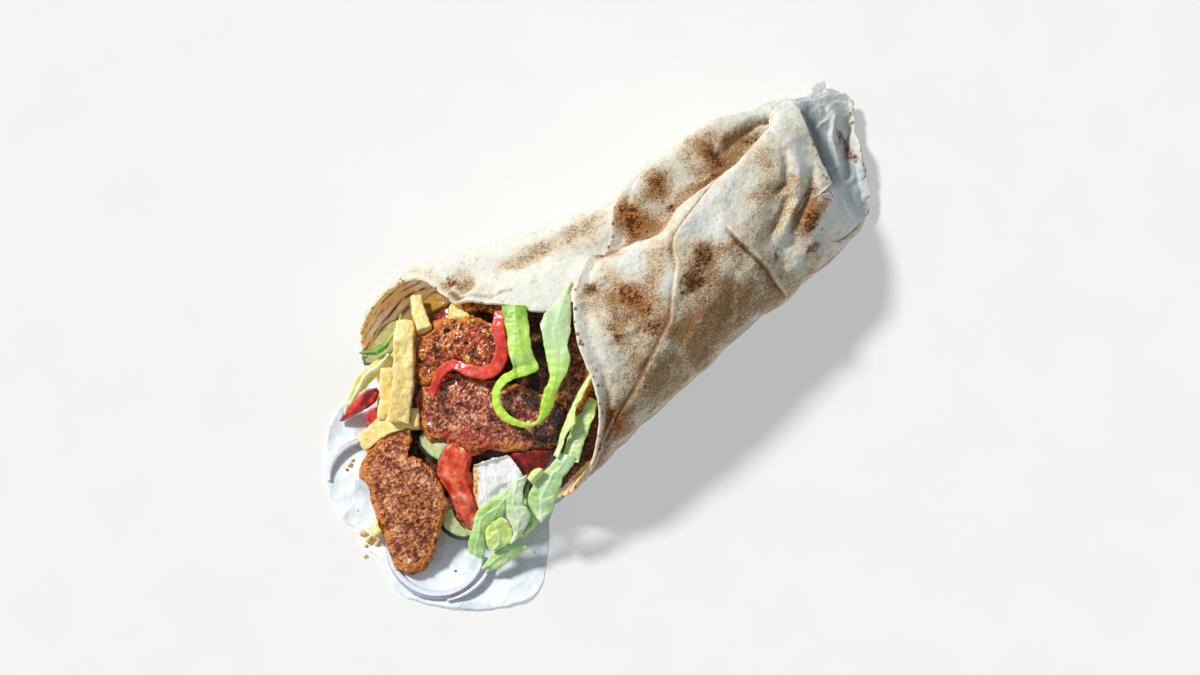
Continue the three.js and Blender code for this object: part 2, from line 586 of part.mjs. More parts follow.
    outline: [[-84, 15], [-77, 11], [-71, 6], [-65, -1], [-59, -7], [-53, -14], [-47, -21],
      [-43, -28], [-41.5, -34], [-43, -39], [-48, -42.5], [-54, -44], [-60, -41.5], [-66, -37.5],
      [-73, -32.5], [-79, -28.5], [-85.5, -26], [-88, -19], [-92, -12.5], [-97, -9], [-96.5, 2],
      [-91, 10]],
    lift: 0.6, thick: 5.2, crown: 1.6, rough: 1.2, lump: 8, seed: 9 } },
  { name: "meat_slice_right", make: slab, finish: MEAT, shape: {
    outline: [[-22, 6], [-15, -5], [-20, -20], [-27, -33], [-37, -40], [-47, -36], [-44, -22], [-34, -9]],
    lift: 0.2, thick: 5, crown: 1.2, rough: 1.5, lump: 6, seed: 10, sides: 16 } },
  { name: "tomato_slice_front", make: slab, finish: TOMATO, shape: {
    outline: [[-86, -14], [-93, -15], [-98.5, -17.5], [-101.5, -22], [-101.5, -28], [-102.5, -35],
      [-104, -41], [-103, -47], [-99.5, -50], [-96, -48.5], [-91, -46], [-90, -39], [-89, -33],
      [-87, -28], [-83, -25], [-82, -18]],
    lift: 0.8, thick: 5, crown: 1.4, rough: 0.7, lump: 6, seed: 12 } },
  { name: "fry_lower", make: strip, finish: FRY, shape: {
    path: [[-119, 9, 11], [-110, 9, 17], [-101, 5, 23.5], [-94, 1, 27]],
    width: [[0, 7], [0.5, 9], [1, 8]], thick: 6.5, stations: 8 } },
  { name: "fry_left", make: strip, finish: FRY, shape: {
    path: [[-94, 28, 25.5], [-99, 20, 23.6], [-106, 11, 20]],
    width: [[0, 6], [1, 8]], thick: 6.5, stations: 6 } },
  { name: "fried_onion_left", make: slab, finish: FRIED_ONION, shape: {
    outline: [[-104, 23], [-98, 22], [-97, 15], [-101, 9], [-108, 7], [-108, 14]],
    lift: -0.4, thick: 3.4, crown: 0.6, rough: 0.6, lump: 5, seed: 25, sides: 12 } },
  { name: "cabbage_shred_left", make: strip, finish: PALE_LETTUCE, shape: {
    path: [[-119, 25, 14.5], [-112, 29.5, 17.5], [-104, 31, 21.5], [-94, 32, 26], [-87, 31, 29]],
    width: [[0, 3.5], [0.5, 7], [1, 4]], thick: 1.6, stations: 10, tilt: [[0, 10], [1, 25]] } },
  { name: "tomato_wedge_left", make: slab, finish: TOMATO, shape: {
    outline: [[-124, 25.5], [-119.5, 28], [-115, 29.4], [-110, 30], [-105, 29.4], [-101.5, 27],
      [-101.5, 23.5], [-105, 21.6], [-109, 21.6], [-113, 22.4], [-117, 23.4], [-121.5, 24.2]],
    lift: -2.6, thick: 5, crown: 0.8, rough: 0.4, seed: 14 } },
  { name: "tomato_cube_left", make: slab, finish: TOMATO, shape: {
    outline: [[-113, 21], [-105, 20], [-103, 12], [-110, 11], [-115, 15]],
    lift: -3.4, thick: 6, crown: 0.5, rough: 0.3, seed: 15, sides: 12 } },
  { name: "herb_sprig", make: strip, finish: HERB, shape: {
    path: [[-77, 43, 37], [-81, 39, 36], [-86, 37, 34], [-93, 36, 30.5], [-100, 40, 26.5]],
    width: [[0, 1.6], [0.6, 3], [0.85, 4.4], [1, 2]], thick: 1.2, stations: 9 } },
  { name: "lettuce_tip_left", make: leaf, finish: LETTUCE, shape: {
    outline: [[-120, 14], [-113, 13], [-115, 6], [-121, 8]],
    lift: -6.4, wave: 0.5, seed: 26, sides: 8 } },
  { name: "pickle_slice", make: slab, finish: PICKLE, shape: {
    outline: [[-70, 43], [-60, 45], [-52, 40], [-53, 34], [-66, 36]],
    lift: -2.4, thick: 4, crown: 0.6, rough: 0.3, seed: 16, sides: 14 } },
  { name: "cucumber_slice_back", make: slab, finish: CUCUMBER, shape: {
    outline: [[-98, 46], [-88, 49], [-78, 46], [-78, 37], [-90, 34], [-101, 38]],
    lift: -2, thick: 3.6, crown: 0.5, rough: 0.2, seed: 18, sides: 14 } },
  { name: "tomato_slice_back", make: slab, finish: TOMATO, shape: {
    outline: [[-72, 36], [-60, 38], [-50, 34], [-50, 24], [-66, 24]],
    lift: -3.4, thick: 5, crown: 0.6, rough: 0.3, seed: 20, sides: 14 } },
  { name: "tomato_wedge_right", make: slab, finish: TOMATO, shape: {
    outline: [[-72, -34], [-58, -36], [-54, -44], [-62, -50], [-72, -48]],
    lift: -1.6, thick: 6, crown: 0.8, rough: 0.4, seed: 21, sides: 12 } },
  { name: "lettuce_shred_right", make: strip, finish: PALE_LETTUCE, shape: {
    path: [[-26, -29, 54.6], [-33, -33, 53.6], [-40, -37.5, 51.6], [-48, -43, 48.6], [-56, -49, 44]],
    width: [[0, 3], [0.4, 6], [1, 5]], thick: 1.2, tilt: [[0, 15], [1, 30]] } },
  { name: "lettuce_shred_low", make: strip, finish: LETTUCE, shape: {
    path: [[-31, -35.5, 47.5], [-39, -40.5, 46], [-46, -45.5, 44], [-53, -52, 41]],
    width: [[0, 3], [0.5, 6], [1, 6]], thick: 1.2, stations: 9, tilt: [[0, 10], [1, 25]] } },
  { name: "cucumber_slice_front", make: slab, finish: CUCUMBER, shape: {
    outline: [[-106, -34], [-98, -43], [-98, -52], [-107, -50], [-112, -40]],
    lift: -1.2, thick: 4, crown: 0.3, rough: 0.2, seed: 22, sides: 14 } },
  { name: "cucumber_slice_middle", make: slab, finish: CUCUMBER, shape: {
    outline: [[-100, -3], [-90, -5], [-87, -15], [-96, -20], [-101, -13]],
    lift: -2.6, thick: 4, crown: 0.3, rough: 0.2, seed: 23, sides: 12 } },
  { name: "fry_under_meat", make: strip, finish: FRY, shape: {
    path: [[-138, -25, 5], [-130, -24, 6], [-120, -22, 8.2]],
    width: [[0, 5], [1, 7]], thick: 5, stations: 5 } },
  { name: "onion_ring_front", make: onionArc, finish: ONION, shape: {
    centre: [-117.5, -45], radii: [20.3, 21.2], from: 142, to: 318, width: 4.2, height: 3.6 } },
  { name: "onion_layer_front", make: onionArc, finish: ONION, shape: {
    centre: [-116, -45], radii: [24.4, 24.4], from: 246, to: 326, width: 2.4, height: 3, stations: 12 } },
  { name: "onion_ring_left", make: onionArc, finish: ONION, shape: {
    centre: [-126, -3], radii: [17, 17.4], from: 40, to: 150, width: 3.4, height: 3.4, stations: 12 } },
];

// ---- putting it together ------------------------------------------------------------

const BREAD_FINISH = { color: 0xe6dcc4, roughness: 0.8 };
const PAPER_FINISH = { color: 0xeaf2f6, roughness: 0.6 };

function meshOf(name, solid, { color, roughness }) {
  const shape = solid.getMesh();
  const geometry = new THREE.BufferGeometry();
  geometry.setAttribute("position", new THREE.BufferAttribute(new Float32Array(shape.vertProperties), 3));
  geometry.setIndex(new THREE.BufferAttribute(new Uint32Array(shape.triVerts), 1));
  geometry.computeVertexNormals();
  const mesh = new THREE.Mesh(geometry, new THREE.MeshStandardMaterial({ color, roughness, metalness: 0 }));
  mesh.name = name;
  return mesh;
}

function boxesMeet(a, b) {
  const [p, q] = [a.boundingBox(), b.boundingBox()];
  return [0, 1, 2].every((k) => p.min[k] <= q.max[k] && q.min[k] <= p.max[k]);
}

const wrap = new THREE.Group();

const bread = breadSheet(BREAD_WINDS, BREAD_ROWS);
const halfway = BREAD_WINDS.findIndex((wind) => wind > 60);
const breadRoom = [
  breadSheet(BREAD_WINDS.slice(0, halfway + 1), BREAD_ROWS, GAP),
  breadSheet(BREAD_WINDS.slice(halfway), BREAD_ROWS, GAP),
];
wrap.add(meshOf("flatbread", bread, BREAD_FINISH));
wrap.add(meshOf("paper", paperSheet(), PAPER_FINISH));

const above = [...breadRoom];
for (const { name, make, finish, shape } of FILLINGS) {
  let solid = make(shape);
  for (const cutter of above) {
    if (boxesMeet(cutter, solid)) solid = solid.subtract(cutter);
  }
  wrap.add(meshOf(name, largestBody(solid), finish));
  above.push(make(shape, PIECE_GAP));
}

let core = meatCore();
for (const cutter of above) {
  if (boxesMeet(cutter, core)) core = core.subtract(cutter);
}
wrap.add(meshOf("meat_core", largestBody(core), MEAT));

export default wrap;
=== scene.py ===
import math

import bmesh
import bpy
import numpy as np
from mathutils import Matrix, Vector


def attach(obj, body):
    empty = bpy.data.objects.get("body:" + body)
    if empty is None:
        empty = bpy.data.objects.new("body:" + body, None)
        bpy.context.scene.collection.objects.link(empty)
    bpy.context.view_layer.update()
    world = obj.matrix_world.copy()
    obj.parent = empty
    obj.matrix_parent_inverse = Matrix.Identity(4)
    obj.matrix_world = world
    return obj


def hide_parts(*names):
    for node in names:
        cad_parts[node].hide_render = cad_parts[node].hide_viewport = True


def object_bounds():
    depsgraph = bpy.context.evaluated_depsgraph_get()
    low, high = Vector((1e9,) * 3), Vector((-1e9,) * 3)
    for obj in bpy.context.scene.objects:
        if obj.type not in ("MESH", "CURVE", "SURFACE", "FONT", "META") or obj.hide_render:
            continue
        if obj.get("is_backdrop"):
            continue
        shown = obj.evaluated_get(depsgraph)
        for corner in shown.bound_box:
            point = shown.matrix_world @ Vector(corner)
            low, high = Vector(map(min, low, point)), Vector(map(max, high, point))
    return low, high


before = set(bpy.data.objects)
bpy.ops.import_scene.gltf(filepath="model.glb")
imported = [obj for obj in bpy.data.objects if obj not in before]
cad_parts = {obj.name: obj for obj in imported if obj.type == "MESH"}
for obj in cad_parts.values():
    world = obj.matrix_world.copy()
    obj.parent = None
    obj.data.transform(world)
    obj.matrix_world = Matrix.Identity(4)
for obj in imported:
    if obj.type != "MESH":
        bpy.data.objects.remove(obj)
cad_low, cad_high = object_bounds()


# ---- the table, the light and the camera ---------------------------------------------
# A plain pale table top under one soft sun from behind the roll's closed side, with a
# bluish sky that fills the shade. The camera looks down on the mouth and along the roll.

CAMERA_AZIMUTH = -33.4
CAMERA_ELEVATION = 74.0
CAMERA_AIM = Vector((0.0, 0.0, 0.015))
CAMERA_DISTANCE = 1.2467
CAMERA_LENS = 85.0
FRAME_WIDTH_PX = 1200
AIM_RIGHT_PX = 5.0
AIM_UP_PX = 24.5
SUN_AZIMUTH = 203.0
SUN_ELEVATION = 47.0
SUN_SPREAD = math.radians(9.0)
SUN_STRENGTH = 3.3
SUN_COLOUR = (1.0, 0.975, 0.93)
SKY_STRENGTH = 0.34
SKY_COLOUR = (0.77, 0.89, 1.0, 1.0)
TABLE_HALF = 2.0
TABLE_GLOW = 0.34
WHITE = (1.0, 1.0, 1.0, 1.0)


def towards(azimuth, elevation):
    """The direction from the wrap to something seen at that azimuth and elevation."""
    turn, rise = math.radians(azimuth), math.radians(elevation)
    flat = math.cos(rise)
    return Vector((math.sin(turn) * flat, -math.cos(turn) * flat, math.sin(rise)))


def tint(red, green, blue):
    """A colour as seen on a screen, 0 to 255, as the linear colour that a shader takes."""
    seen = np.array([red, green, blue]) / 255
    return (*np.where(seen < 0.04045, seen / 12.92, ((seen + 0.055) / 1.055) ** 2.4), 1.0)


class Wire:
    """One output of a material's nodes. Sums and products of wires add Math nodes."""

    def __init__(self, tree, socket):
        self.tree = tree
        self.socket = socket

    def node(self, kind, settings=None, sockets=None, output=0):
        """A new node: first its settings, then the values or links of its sockets."""
        made = self.tree.nodes.new("ShaderNode" + kind)
        for name, setting in (settings or {}).items():
            if name == "stops":
                ramp = made.color_ramp.elements
                while len(ramp) < len(setting):
                    ramp.new(1.0)
                for stop, (place, colour) in zip(ramp, setting):
                    stop.position = place
                    stop.color = colour
            else:
                setattr(made, name, setting)
        for key, value in (sockets or {}).items():
            if isinstance(value, Wire):
                self.tree.links.new(value.socket, made.inputs[key])
            else:
                made.inputs[key].default_value = value
        return None if output is None else Wire(self.tree, made.outputs[output])

    def maths(self, operation, first, second):
        return self.node("Math", {"operation": operation}, {0: first, 1: second})

    def __add__(self, other):
        return self.maths("ADD", self, other)

    def __sub__(self, other):
        return self.maths("SUBTRACT", self, other)

    def __rsub__(self, other):
        return self.maths("SUBTRACT", other, self)

    def __mul__(self, other):
        return self.maths("MULTIPLY", self, other)

    __radd__ = __add__
    __rmul__ = __mul__

    def rise(self, low, high):
        """0 below low, 1 above high and a soft step between; low may be the larger."""
        sockets = {"Value": self, "From Min": low, "From Max": high}
        return self.node("MapRange", {"interpolation_type": "SMOOTHSTEP"}, sockets)

    def blend(self, first, second):
        """The first colour where this wire is 0 and the second where it is 1."""
        sockets = {0: self, 6: first, 7: second}
        return self.node("Mix", {"data_type": "RGBA"}, sockets, output=2)

    def mark(self, name):
        """A number that the mesh carries at each of its points."""
        return self.node("Attribute", {"attribute_name": name}, output="Fac")

    def spread(self, size, stretch=(1, 1, 1), turn=0.0):
        """This place scaled so that 1 is `size` mm, or more along the stretched axes."""
        scale = tuple(1000 / size / s for s in stretch)
        sockets = {"Vector": self, "Rotation": (0, 0, math.radians(-turn)), "Scale": scale}
        return self.node("Mapping", {"vector_type": "POINT"}, sockets)

    def cloud(self, size, detail=2.0, stretch=(1, 1, 1), turn=0.0):
        """Cloudy noise, mostly from 0.3 to 0.7, whose patches are about `size` mm."""
        sockets = {"Vector": self.spread(size, stretch, turn), "Scale": 1.0, "Detail": detail}
        return self.node("TexNoise", None, sockets, output="Fac")

    def dots(self, size, reach=1.0):
        """Distance from scattered points about `size` mm apart, as a share of that."""
        sockets = {"Vector": self.spread(size), "Scale": 1.0, "Randomness": reach}
        return self.node("TexVoronoi", None, sockets, output="Distance")

    def cells(self, size):
        """A number, mostly from 0.3 to 0.7, for each of the cells about `size` mm across."""
        sockets = {"Vector": self.spread(size), "Scale": 1.0}
        return self.node("TexVoronoi", None, sockets, output="Color")

    def bump(self, height, depth):
        """The surface's normal with this height on it, `depth` mm for a height of 1."""
        sockets = {"Height": height, "Distance": depth / 1000, "Strength": 1.0}
        return self.node("Bump", None, sockets)


def new_material(name):
    """A blank material, and the place on the piece that its patterns start from."""
    material = bpy.data.materials.new(name)
    material.use_nodes = True
    material.node_tree.nodes.clear()
    place = material.node_tree.nodes.new("ShaderNodeTexCoord").outputs["Object"]
    return material, Wire(material.node_tree, place)


def coat(place, colour, roughness, normal=None, specular=0.5, film=None, scatter=None,
         glow=None):
    """Closes a material. film is a clear wet coat's weight and roughness; scatter is the
    weight, radius and scale in metres of the light inside; glow is a colour and strength."""
    sockets = {"Base Color": colour, "Roughness": roughness, "Specular IOR Level": specular}
    if normal:
        sockets["Normal"] = normal
    if film:
        sockets["Coat Weight"], sockets["Coat Roughness"] = film
    if scatter:
        names = ("Subsurface Weight", "Subsurface Radius", "Subsurface Scale")
        sockets.update(zip(names, scatter))
    if glow:
        sockets["Emission Color"], sockets["Emission Strength"] = glow
    shader = place.node("BsdfPrincipled", None, sockets)
    place.node("OutputMaterial", None, {"Surface": shader}, output=None)


scene = bpy.context.scene
scene.view_settings.view_transform = "Standard"

lens = bpy.data.cameras.new("camera")
lens.lens = CAMERA_LENS
lens.shift_x = -AIM_RIGHT_PX / FRAME_WIDTH_PX
lens.shift_y = -AIM_UP_PX / FRAME_WIDTH_PX
camera = bpy.data.objects.new("camera", lens)
to_camera = towards(CAMERA_AZIMUTH, CAMERA_ELEVATION)
camera.location = CAMERA_AIM + to_camera * CAMERA_DISTANCE
camera.rotation_euler = (-to_camera).to_track_quat("-Z", "Y").to_euler()
scene.collection.objects.link(camera)
scene.camera = camera

lamp = bpy.data.lights.new("sun", "SUN")
lamp.energy = SUN_STRENGTH
lamp.angle = SUN_SPREAD
lamp.color = SUN_COLOUR
sun = bpy.data.objects.new("sun", lamp)
sun.rotation_euler = towards(SUN_AZIMUTH, SUN_ELEVATION).to_track_quat("Z", "Y").to_euler()
scene.collection.objects.link(sun)

sky = bpy.data.worlds.new("sky")
sky.use_nodes = True
sky_light = sky.node_tree.nodes["Background"].inputs
sky_light["Color"].default_value = SKY_COLOUR
sky_light["Strength"].default_value = SKY_STRENGTH
scene.world = sky

table_corners = [(-TABLE_HALF, -TABLE_HALF, 0), (TABLE_HALF, -TABLE_HALF, 0),
                 (TABLE_HALF, TABLE_HALF, 0), (-TABLE_HALF, TABLE_HALF, 0)]
table_mesh = bpy.data.meshes.new("table")
table_mesh.from_pydata(table_corners, [], [(0, 1, 2, 3)])
table = bpy.data.objects.new("table", table_mesh)
scene.collection.objects.link(table)
table_paint, place = new_material("pale table")
matt = place.cloud(40).rise(0.3, 0.7).blend(tint(194, 192, 190), tint(196, 194, 192))
coat(place, matt, 0.9, glow=(WHITE, TABLE_GLOW))
table.data.materials.append(table_paint)
table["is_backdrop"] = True


# ---- the greaseproof paper -----------------------------------------------------------
# A torn piece of thin white greaseproof paper. It lies on the table, crumpled from having
# been folded round the wrap, which rests on it; its torn rim stands up a little.

PAPER_MIDDLE = np.array([-60.0, -15.0])
PAPER_SPOKES = 420
PAPER_RINGS = 96
PAPER_LOW = 0.12
PAPER_HIGH = 0.95
PAPER_THICK = 0.1
PAPER_RIM = 9.0
PAPER_RIM_RISE = 1.5
PAPER_TORN = 0.5
FREE_PAPER_X = (-84, -104)
CRUMPLES = 9
CRUMPLE_SIZES = (11.0, 34.0)


def drift(points, size, seed, octaves=1):
    """Smooth noise, about -1 to 1, at points in mm; its lumps are `size` mm across."""
    draw = np.random.RandomState(seed)
    shuffle = draw.permutation(256)
    slopes = draw.normal(size=(256, 3))
    slopes /= np.linalg.norm(slopes, axis=1)[:, None]
    total = np.zeros(len(points))
    for octave in range(octaves):
        spot = points * (2**octave / size) + draw.uniform(0, 64, 3)
        cell = np.floor(spot).astype(int)
        part = spot - cell
        ease = part**3 * (part * (part * 6 - 15) + 10)
        for corner in np.ndindex(2, 2, 2):
            x, y, z = (cell + corner).T
            slope = slopes[shuffle[(shuffle[(shuffle[x & 255] + y) & 255] + z) & 255]]
            share = np.prod(np.where(corner, ease, 1 - ease), axis=1)
            total += share * ((part - corner) * slope).sum(axis=1) * 1.6 / 2**octave
    return total


def soft_step(low, high, values):
    """0 below low, 1 above high and a soft step between; low may be the larger."""
    share = np.clip((values - low) / (high - low), 0, 1)
    return share * share * (3 - 2 * share)


def flat_places(*columns):
    """Places in a plane, in mm, as points for drift()."""
    columns = np.broadcast_arrays(*columns)
    flat = [column.ravel() for column in columns]
    return np.stack(flat + [np.zeros(flat[0].size)] * (3 - len(flat)), axis=1)


def new_piece(name, points, faces, **marks):
    """A smooth-shaded mesh from points in mm and faces, with numbers marked on its points."""
    mesh = bpy.data.meshes.new(name)
    mesh.vertices.add(len(points))
    mesh.vertices.foreach_set("co", (points / 1000).astype(np.float32).ravel())
    mesh.loops.add(faces.size)
    mesh.loops.foreach_set("vertex_index", faces.astype(np.int32).ravel())
    mesh.polygons.add(len(faces))
    starts = np.arange(0, faces.size, faces.shape[1], dtype=np.int32)
    mesh.polygons.foreach_set("loop_start", starts)
    mesh.update(calc_edges=True)
    mesh.validate()
    mesh.shade_smooth()
    for mark, values in marks.items():
        layer = mesh.attributes.new(mark, "FLOAT", "POINT")
        layer.data.foreach_set("value", np.asarray(values, np.float32).ravel())
    piece = bpy.data.objects.new(name, mesh)
    scene.collection.objects.link(piece)
    return piece


def fit(piece, material, slot, *nodes):
    """Finishes a piece: its material, its body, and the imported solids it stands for."""
    piece.data.materials.append(material)
    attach(piece, "root")
    if nodes:
        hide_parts(*nodes)
    return piece


def grid_faces(rows, columns, around=False):
    """Quads over a grid of points, joined end to start along its columns if around."""
    index = np.arange(rows * columns).reshape(rows, columns)
    if around:
        index = np.hstack([index, index[:, :1]])
    corners = [index[:-1, :-1], index[1:, :-1], index[1:, 1:], index[:-1, 1:]]
    return np.stack([corner.ravel() for corner in corners], axis=1)


def ring_wall(ring, after, count):
    """Quads from a ring of points to the same ring `count` points on."""
    return np.stack([ring, after, after + count, ring + count], axis=1)


def node_points(name):
    """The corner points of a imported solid, in mm."""
    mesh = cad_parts[name].data
    points = np.empty(len(mesh.vertices) * 3)
    mesh.vertices.foreach_get("co", points)
    return points.reshape(-1, 3) * 1000


rim = node_points("paper")[:, :2] - PAPER_MIDDLE
rim_turn = np.arctan2(rim[:, 1], rim[:, 0])
order = np.argsort(rim_turn)
turns = np.linspace(-math.pi, math.pi, PAPER_SPOKES, endpoint=False)
reach = np.interp(turns, rim_turn[order], np.hypot(*rim.T)[order], period=2 * math.pi)
reach += PAPER_TORN * drift(flat_places(turns * 60), 3.0, 3, 2)
ring_share = np.linspace(0.004, 1, PAPER_RINGS)[:, None]
flat_x = PAPER_MIDDLE[0] + ring_share * reach * np.cos(turns)
flat_y = PAPER_MIDDLE[1] + ring_share * reach * np.sin(turns)
sheet_places = flat_places(flat_x, flat_y)
draw = np.random.RandomState(12)
creased = np.zeros(len(sheet_places))
for number in range(CRUMPLES):
    turn = draw.uniform(0, math.pi)
    size = draw.uniform(*CRUMPLE_SIZES)
    along = sheet_places @ (math.cos(turn), math.sin(turn), 0)
    bent = along + 5 * drift(sheet_places, 40, 20 + number)
    wave = np.abs((bent / size + draw.uniform()) % 1 - 0.5) * 2
    there = soft_step(-0.35, 0.25, drift(sheet_places, 30, 40 + number))
    creased += (wave - 0.5) * there * size
creased += 3.0 * drift(sheet_places, 5, 60, 2)
creased -= creased.min()
creased /= creased.max()
from_rim = ((1 - ring_share) * reach).ravel()
free_rim = soft_step(*FREE_PAPER_X, flat_x.ravel())
lifted = PAPER_RIM_RISE * free_rim * soft_step(PAPER_RIM, 0, from_rim) ** 1.5
lifted *= 0.5 + 0.5 * drift(sheet_places, 14, 61)
sheet_z = PAPER_LOW + (PAPER_HIGH - PAPER_LOW) * creased + np.clip(lifted, 0, None)
paper_top = np.stack([flat_x.ravel(), flat_y.ravel(), sheet_z], axis=1)
paper_under = paper_top - (0, 0, PAPER_THICK)
top_faces = grid_faces(PAPER_RINGS, PAPER_SPOKES, around=True)
count = len(paper_top)
outer_ring = np.arange(count - PAPER_SPOKES, count)
rim_faces = ring_wall(np.roll(outer_ring, -1), outer_ring, count)
inner_ring = np.arange(PAPER_SPOKES)
hole_faces = ring_wall(inner_ring, np.roll(inner_ring, -1), count)
paper = new_piece(
    "greaseproof_paper_sheet",
    np.vstack([paper_top, paper_under]),
    np.vstack([top_faces, top_faces[:, ::-1] + count, rim_faces, hole_faces]),
)

paper_finish, place = new_material("greaseproof paper")
fibre = place.cloud(2.2, 5)
fine_creases = place.cloud(7, 4, stretch=(1, 2.4, 1), turn=35)
tone = place.cloud(16, 2).rise(0.35, 0.65)
facet = place.dots(15)
small_facet = place.dots(6)
# The paper is painted lighter toward its crumple ridges and along its fine creases: painted
# highlights, with some random tone.
colour = (tone * 0.6 + facet * 0.5).rise(0.1, 0.8).blend(tint(222, 234, 244), tint(250, 252, 254))
colour = fine_creases.rise(0.47, 0.5).blend(colour, tint(238, 246, 252))
relief = place.bump(facet * 4.2 + small_facet * 1.0 + fine_creases + fibre * 0.2, 0.6)
coat(place, colour, 0.38 + fibre * 0.2, relief, 0.45, scatter=(0.1, (1.0, 0.2, 0.1), 0.001))
fit(paper, paper_finish, "greaseproof_paper", "paper")


# ---- the flatbread -------------------------------------------------------------------
# One round sheet of thin wheat bread, baked on a hot plate, so its bubbles are scorched.
# It is rolled about 1.6 turns into a cone, pleated where it was pulled round, and the
# tail is tucked flat. Angles wind round the roll: 0 at +Y, 90 under it, 270 over it.

SHEET = 1.8
TURN_GAP = 0.4
PITCH = SHEET + TURN_GAP
BREAD_FLOOR = 1.3
WIND_START = -195
WIND_END = 380
UNDER = 90
OVER = 270
FOLD_RADIUS = 45
SIDE_DEPTH = 3
SLANT_EASE = 1.2
UPPER_SQUARENESS = 2.05
TOP_HEIGHT = [
    [-112, 46], [-100, 50], [-68, 57], [-40, 62], [0, 64.5], [45, 64],
    [79, 59], [98, 53], [112, 45], [127, 33], [140, 19.5], [151, 10.8],
]
HALF_WIDTH = [
    [-112, 46], [-100, 51.5], [-89, 57], [-68, 61.8], [-45, 57.8], [-22, 51.5], [24, 42.6],
    [45, 40.8], [79, 39.8], [98, 37.5], [112, 34.6], [127, 30.5], [140, 26.5], [152, 21.5],
]
TAIL_SLANT = [[90, 0], [110, 14], [125, 28], [152, 28]]
MIDDLE = [
    [-112, -3], [-68, -0.8], [-22, -2.9], [24, -4.2], [45, -1.6],
    [79, 1.6], [98, 2], [112, 3.5], [127, 5.5], [152, 10],
]
LOWER_SQUARENESS = [[-112, 2], [-66, 2.15], [-10, 2.7], [152, 2.8]]
FRONT_EDGE = [
    [-195, 12], [-130, 4], [-100, -4], [-86, -15], [-84, -27], [-70, -42], [-64, -48],
    [-57, -57], [-47, -58.5], [-33, -61.5], [-22, -69], [-12, -80], [0, -90], [15, -96],
    [35, -99], [90, -100], [120, -95], [140, -84], [152, -70], [165, -60], [181, -52],
    [207, -39], [228, -30], [257, -24], [278, -13], [291, 0], [305, 13], [323, 32],
    [332, 47], [350, 60], [380, 74],
]
TAIL_EDGE = [
    [-195, 124], [-150, 131], [-120, 136], [-90, 141], [-60, 148], [-40, 150], [-29, 147],
    [-22, 141], [-16, 143], [-6, 142], [30, 142], [60, 141], [90, 138], [120, 134], [150, 127],
    [177, 115], [190, 103], [205, 96.5], [225, 97], [235, 106], [241, 111.5], [261, 114],
    [284, 117], [320, 121.5], [380, 117],
]
# Broad folds that every turn shares: [winding angle, x] points, the height, and the width
# on the line's left and on its right, as it runs over the sheet
BROAD_FOLDS = [
    ([[298, 10], [297, 24], [291, 33], [298, 42], [300, 53], [300, 64], [299, 76], [309, 88],
      [319, 100]], -12, 7, 13),
    ([[305, 10], [314, 24], [320, 36], [325, 48], [328, 60], [327, 76], [332, 94]], 4, 9, 9),
    ([[280, 36], [277, 46], [278, 62], [289, 78]], 2, 6, 6),
    ([[274, 34], [263, 27], [235, 12], [213, -13]], 1.2, 8, 8),
    ([[262, 56], [246, 58], [228, 61], [205, 64], [173, 68]], 2.2, 7, 7),
    ([[258, 88], [248, 80], [236, 72], [214, 70]], -3, 6, 6),
    ([[278, 112], [262, 106], [247, 97], [234, 85], [222, 80]], -3, 6, 6),
    ([[290, 130], [262, 122], [232, 117]], -2.4, 7, 7),
    ([[350, 141], [340, 146]], 6, 6, 6),
    ([[318, -64], [308, -30], [304, -4], [306, 14]], -3.4, 10, 8),
]
# Soft rounded wrinkles of one turn: points, height and width
WRINKLES = [
    ([[284, 100], [271, 96], [262, 91], [258, 83]], -2.2, 2.4),
    ([[283, 105], [268, 102], [258, 96], [251, 88]], 1.2, 2.8),
    ([[264, 109], [249, 99], [240, 90], [229, 81]], -2.4, 2.6),
    ([[260, 102], [252, 96], [242, 85], [232, 77]], 1.5, 2.8),
    ([[254, 90], [245, 81], [238, 73]], -2.4, 2.4),
    ([[311, 52], [305, 63], [304, 74]], 0.9, 1.5),
    ([[308, 52], [301, 63], [300, 74]], -1.0, 1.6),
    ([[270, 4], [266, 11], [258, 16]], 1.2, 2.0),
    ([[264, 2], [260, 8], [254, 12]], -0.8, 2.4),
    ([[270, -14], [266, -12], [261, -7]], -1.0, 2.2),
    ([[260, -16], [250, -12], [247, -4], [246, 6]], 1.1, 3.0),
    ([[254, -6], [248, 2], [240, 4]], -1.0, 2.4),
    ([[238, 40], [222, 22], [206, 2]], 0.9, 4.5),
    ([[230, 50], [214, 36], [196, 16]], -1.0, 4.0),
    ([[310, 16], [318, 30], [324, 44]], 1.0, 2.6),
    ([[290, 40], [287, 52], [287, 66]], 1.1, 2.0),
    ([[-36, -52], [-40, -37], [-46, -22], [-44, -8], [-42, 12], [-40, 30]], -2.2, 5.0),
    ([[-60, -40], [-62, -24], [-60, -8], [-56, 10]], 1.4, 6.0),
    ([[-57, -58], [-52, -50], [-45, -43]], -2.2, 1.8),
    ([[-52, -60], [-48, -51], [-42, -44]], 1.6, 1.5),
    ([[-62, -54], [-58, -47], [-51, -41]], 1.4, 2.0),
    ([[-44, -60], [-42, -51], [-37, -45]], -1.4, 1.8),
    ([[-66, -48], [-63, -42], [-58, -36]], -1.0, 1.8),
    ([[-46, 137], [-64, 137], [-80, 129], [-94, 126], [-114, 122]], 4.0, 2.6),
    ([[-52, 144], [-76, 141], [-98, 131], [-118, 124]], -4.0, 2.6),
    ([[-86, 143], [-96, 140], [-112, 135], [-126, 133]], 3.4, 2.4),
    ([[-28, 128], [-52, 126], [-70, 126]], 1.2, 3.2),
    ([[-36, 144], [-44, 136], [-60, 130]], -1.4, 2.6),
    ([[-24, 116], [-17, 130], [-21, 142]], -2.0, 1.8),
]
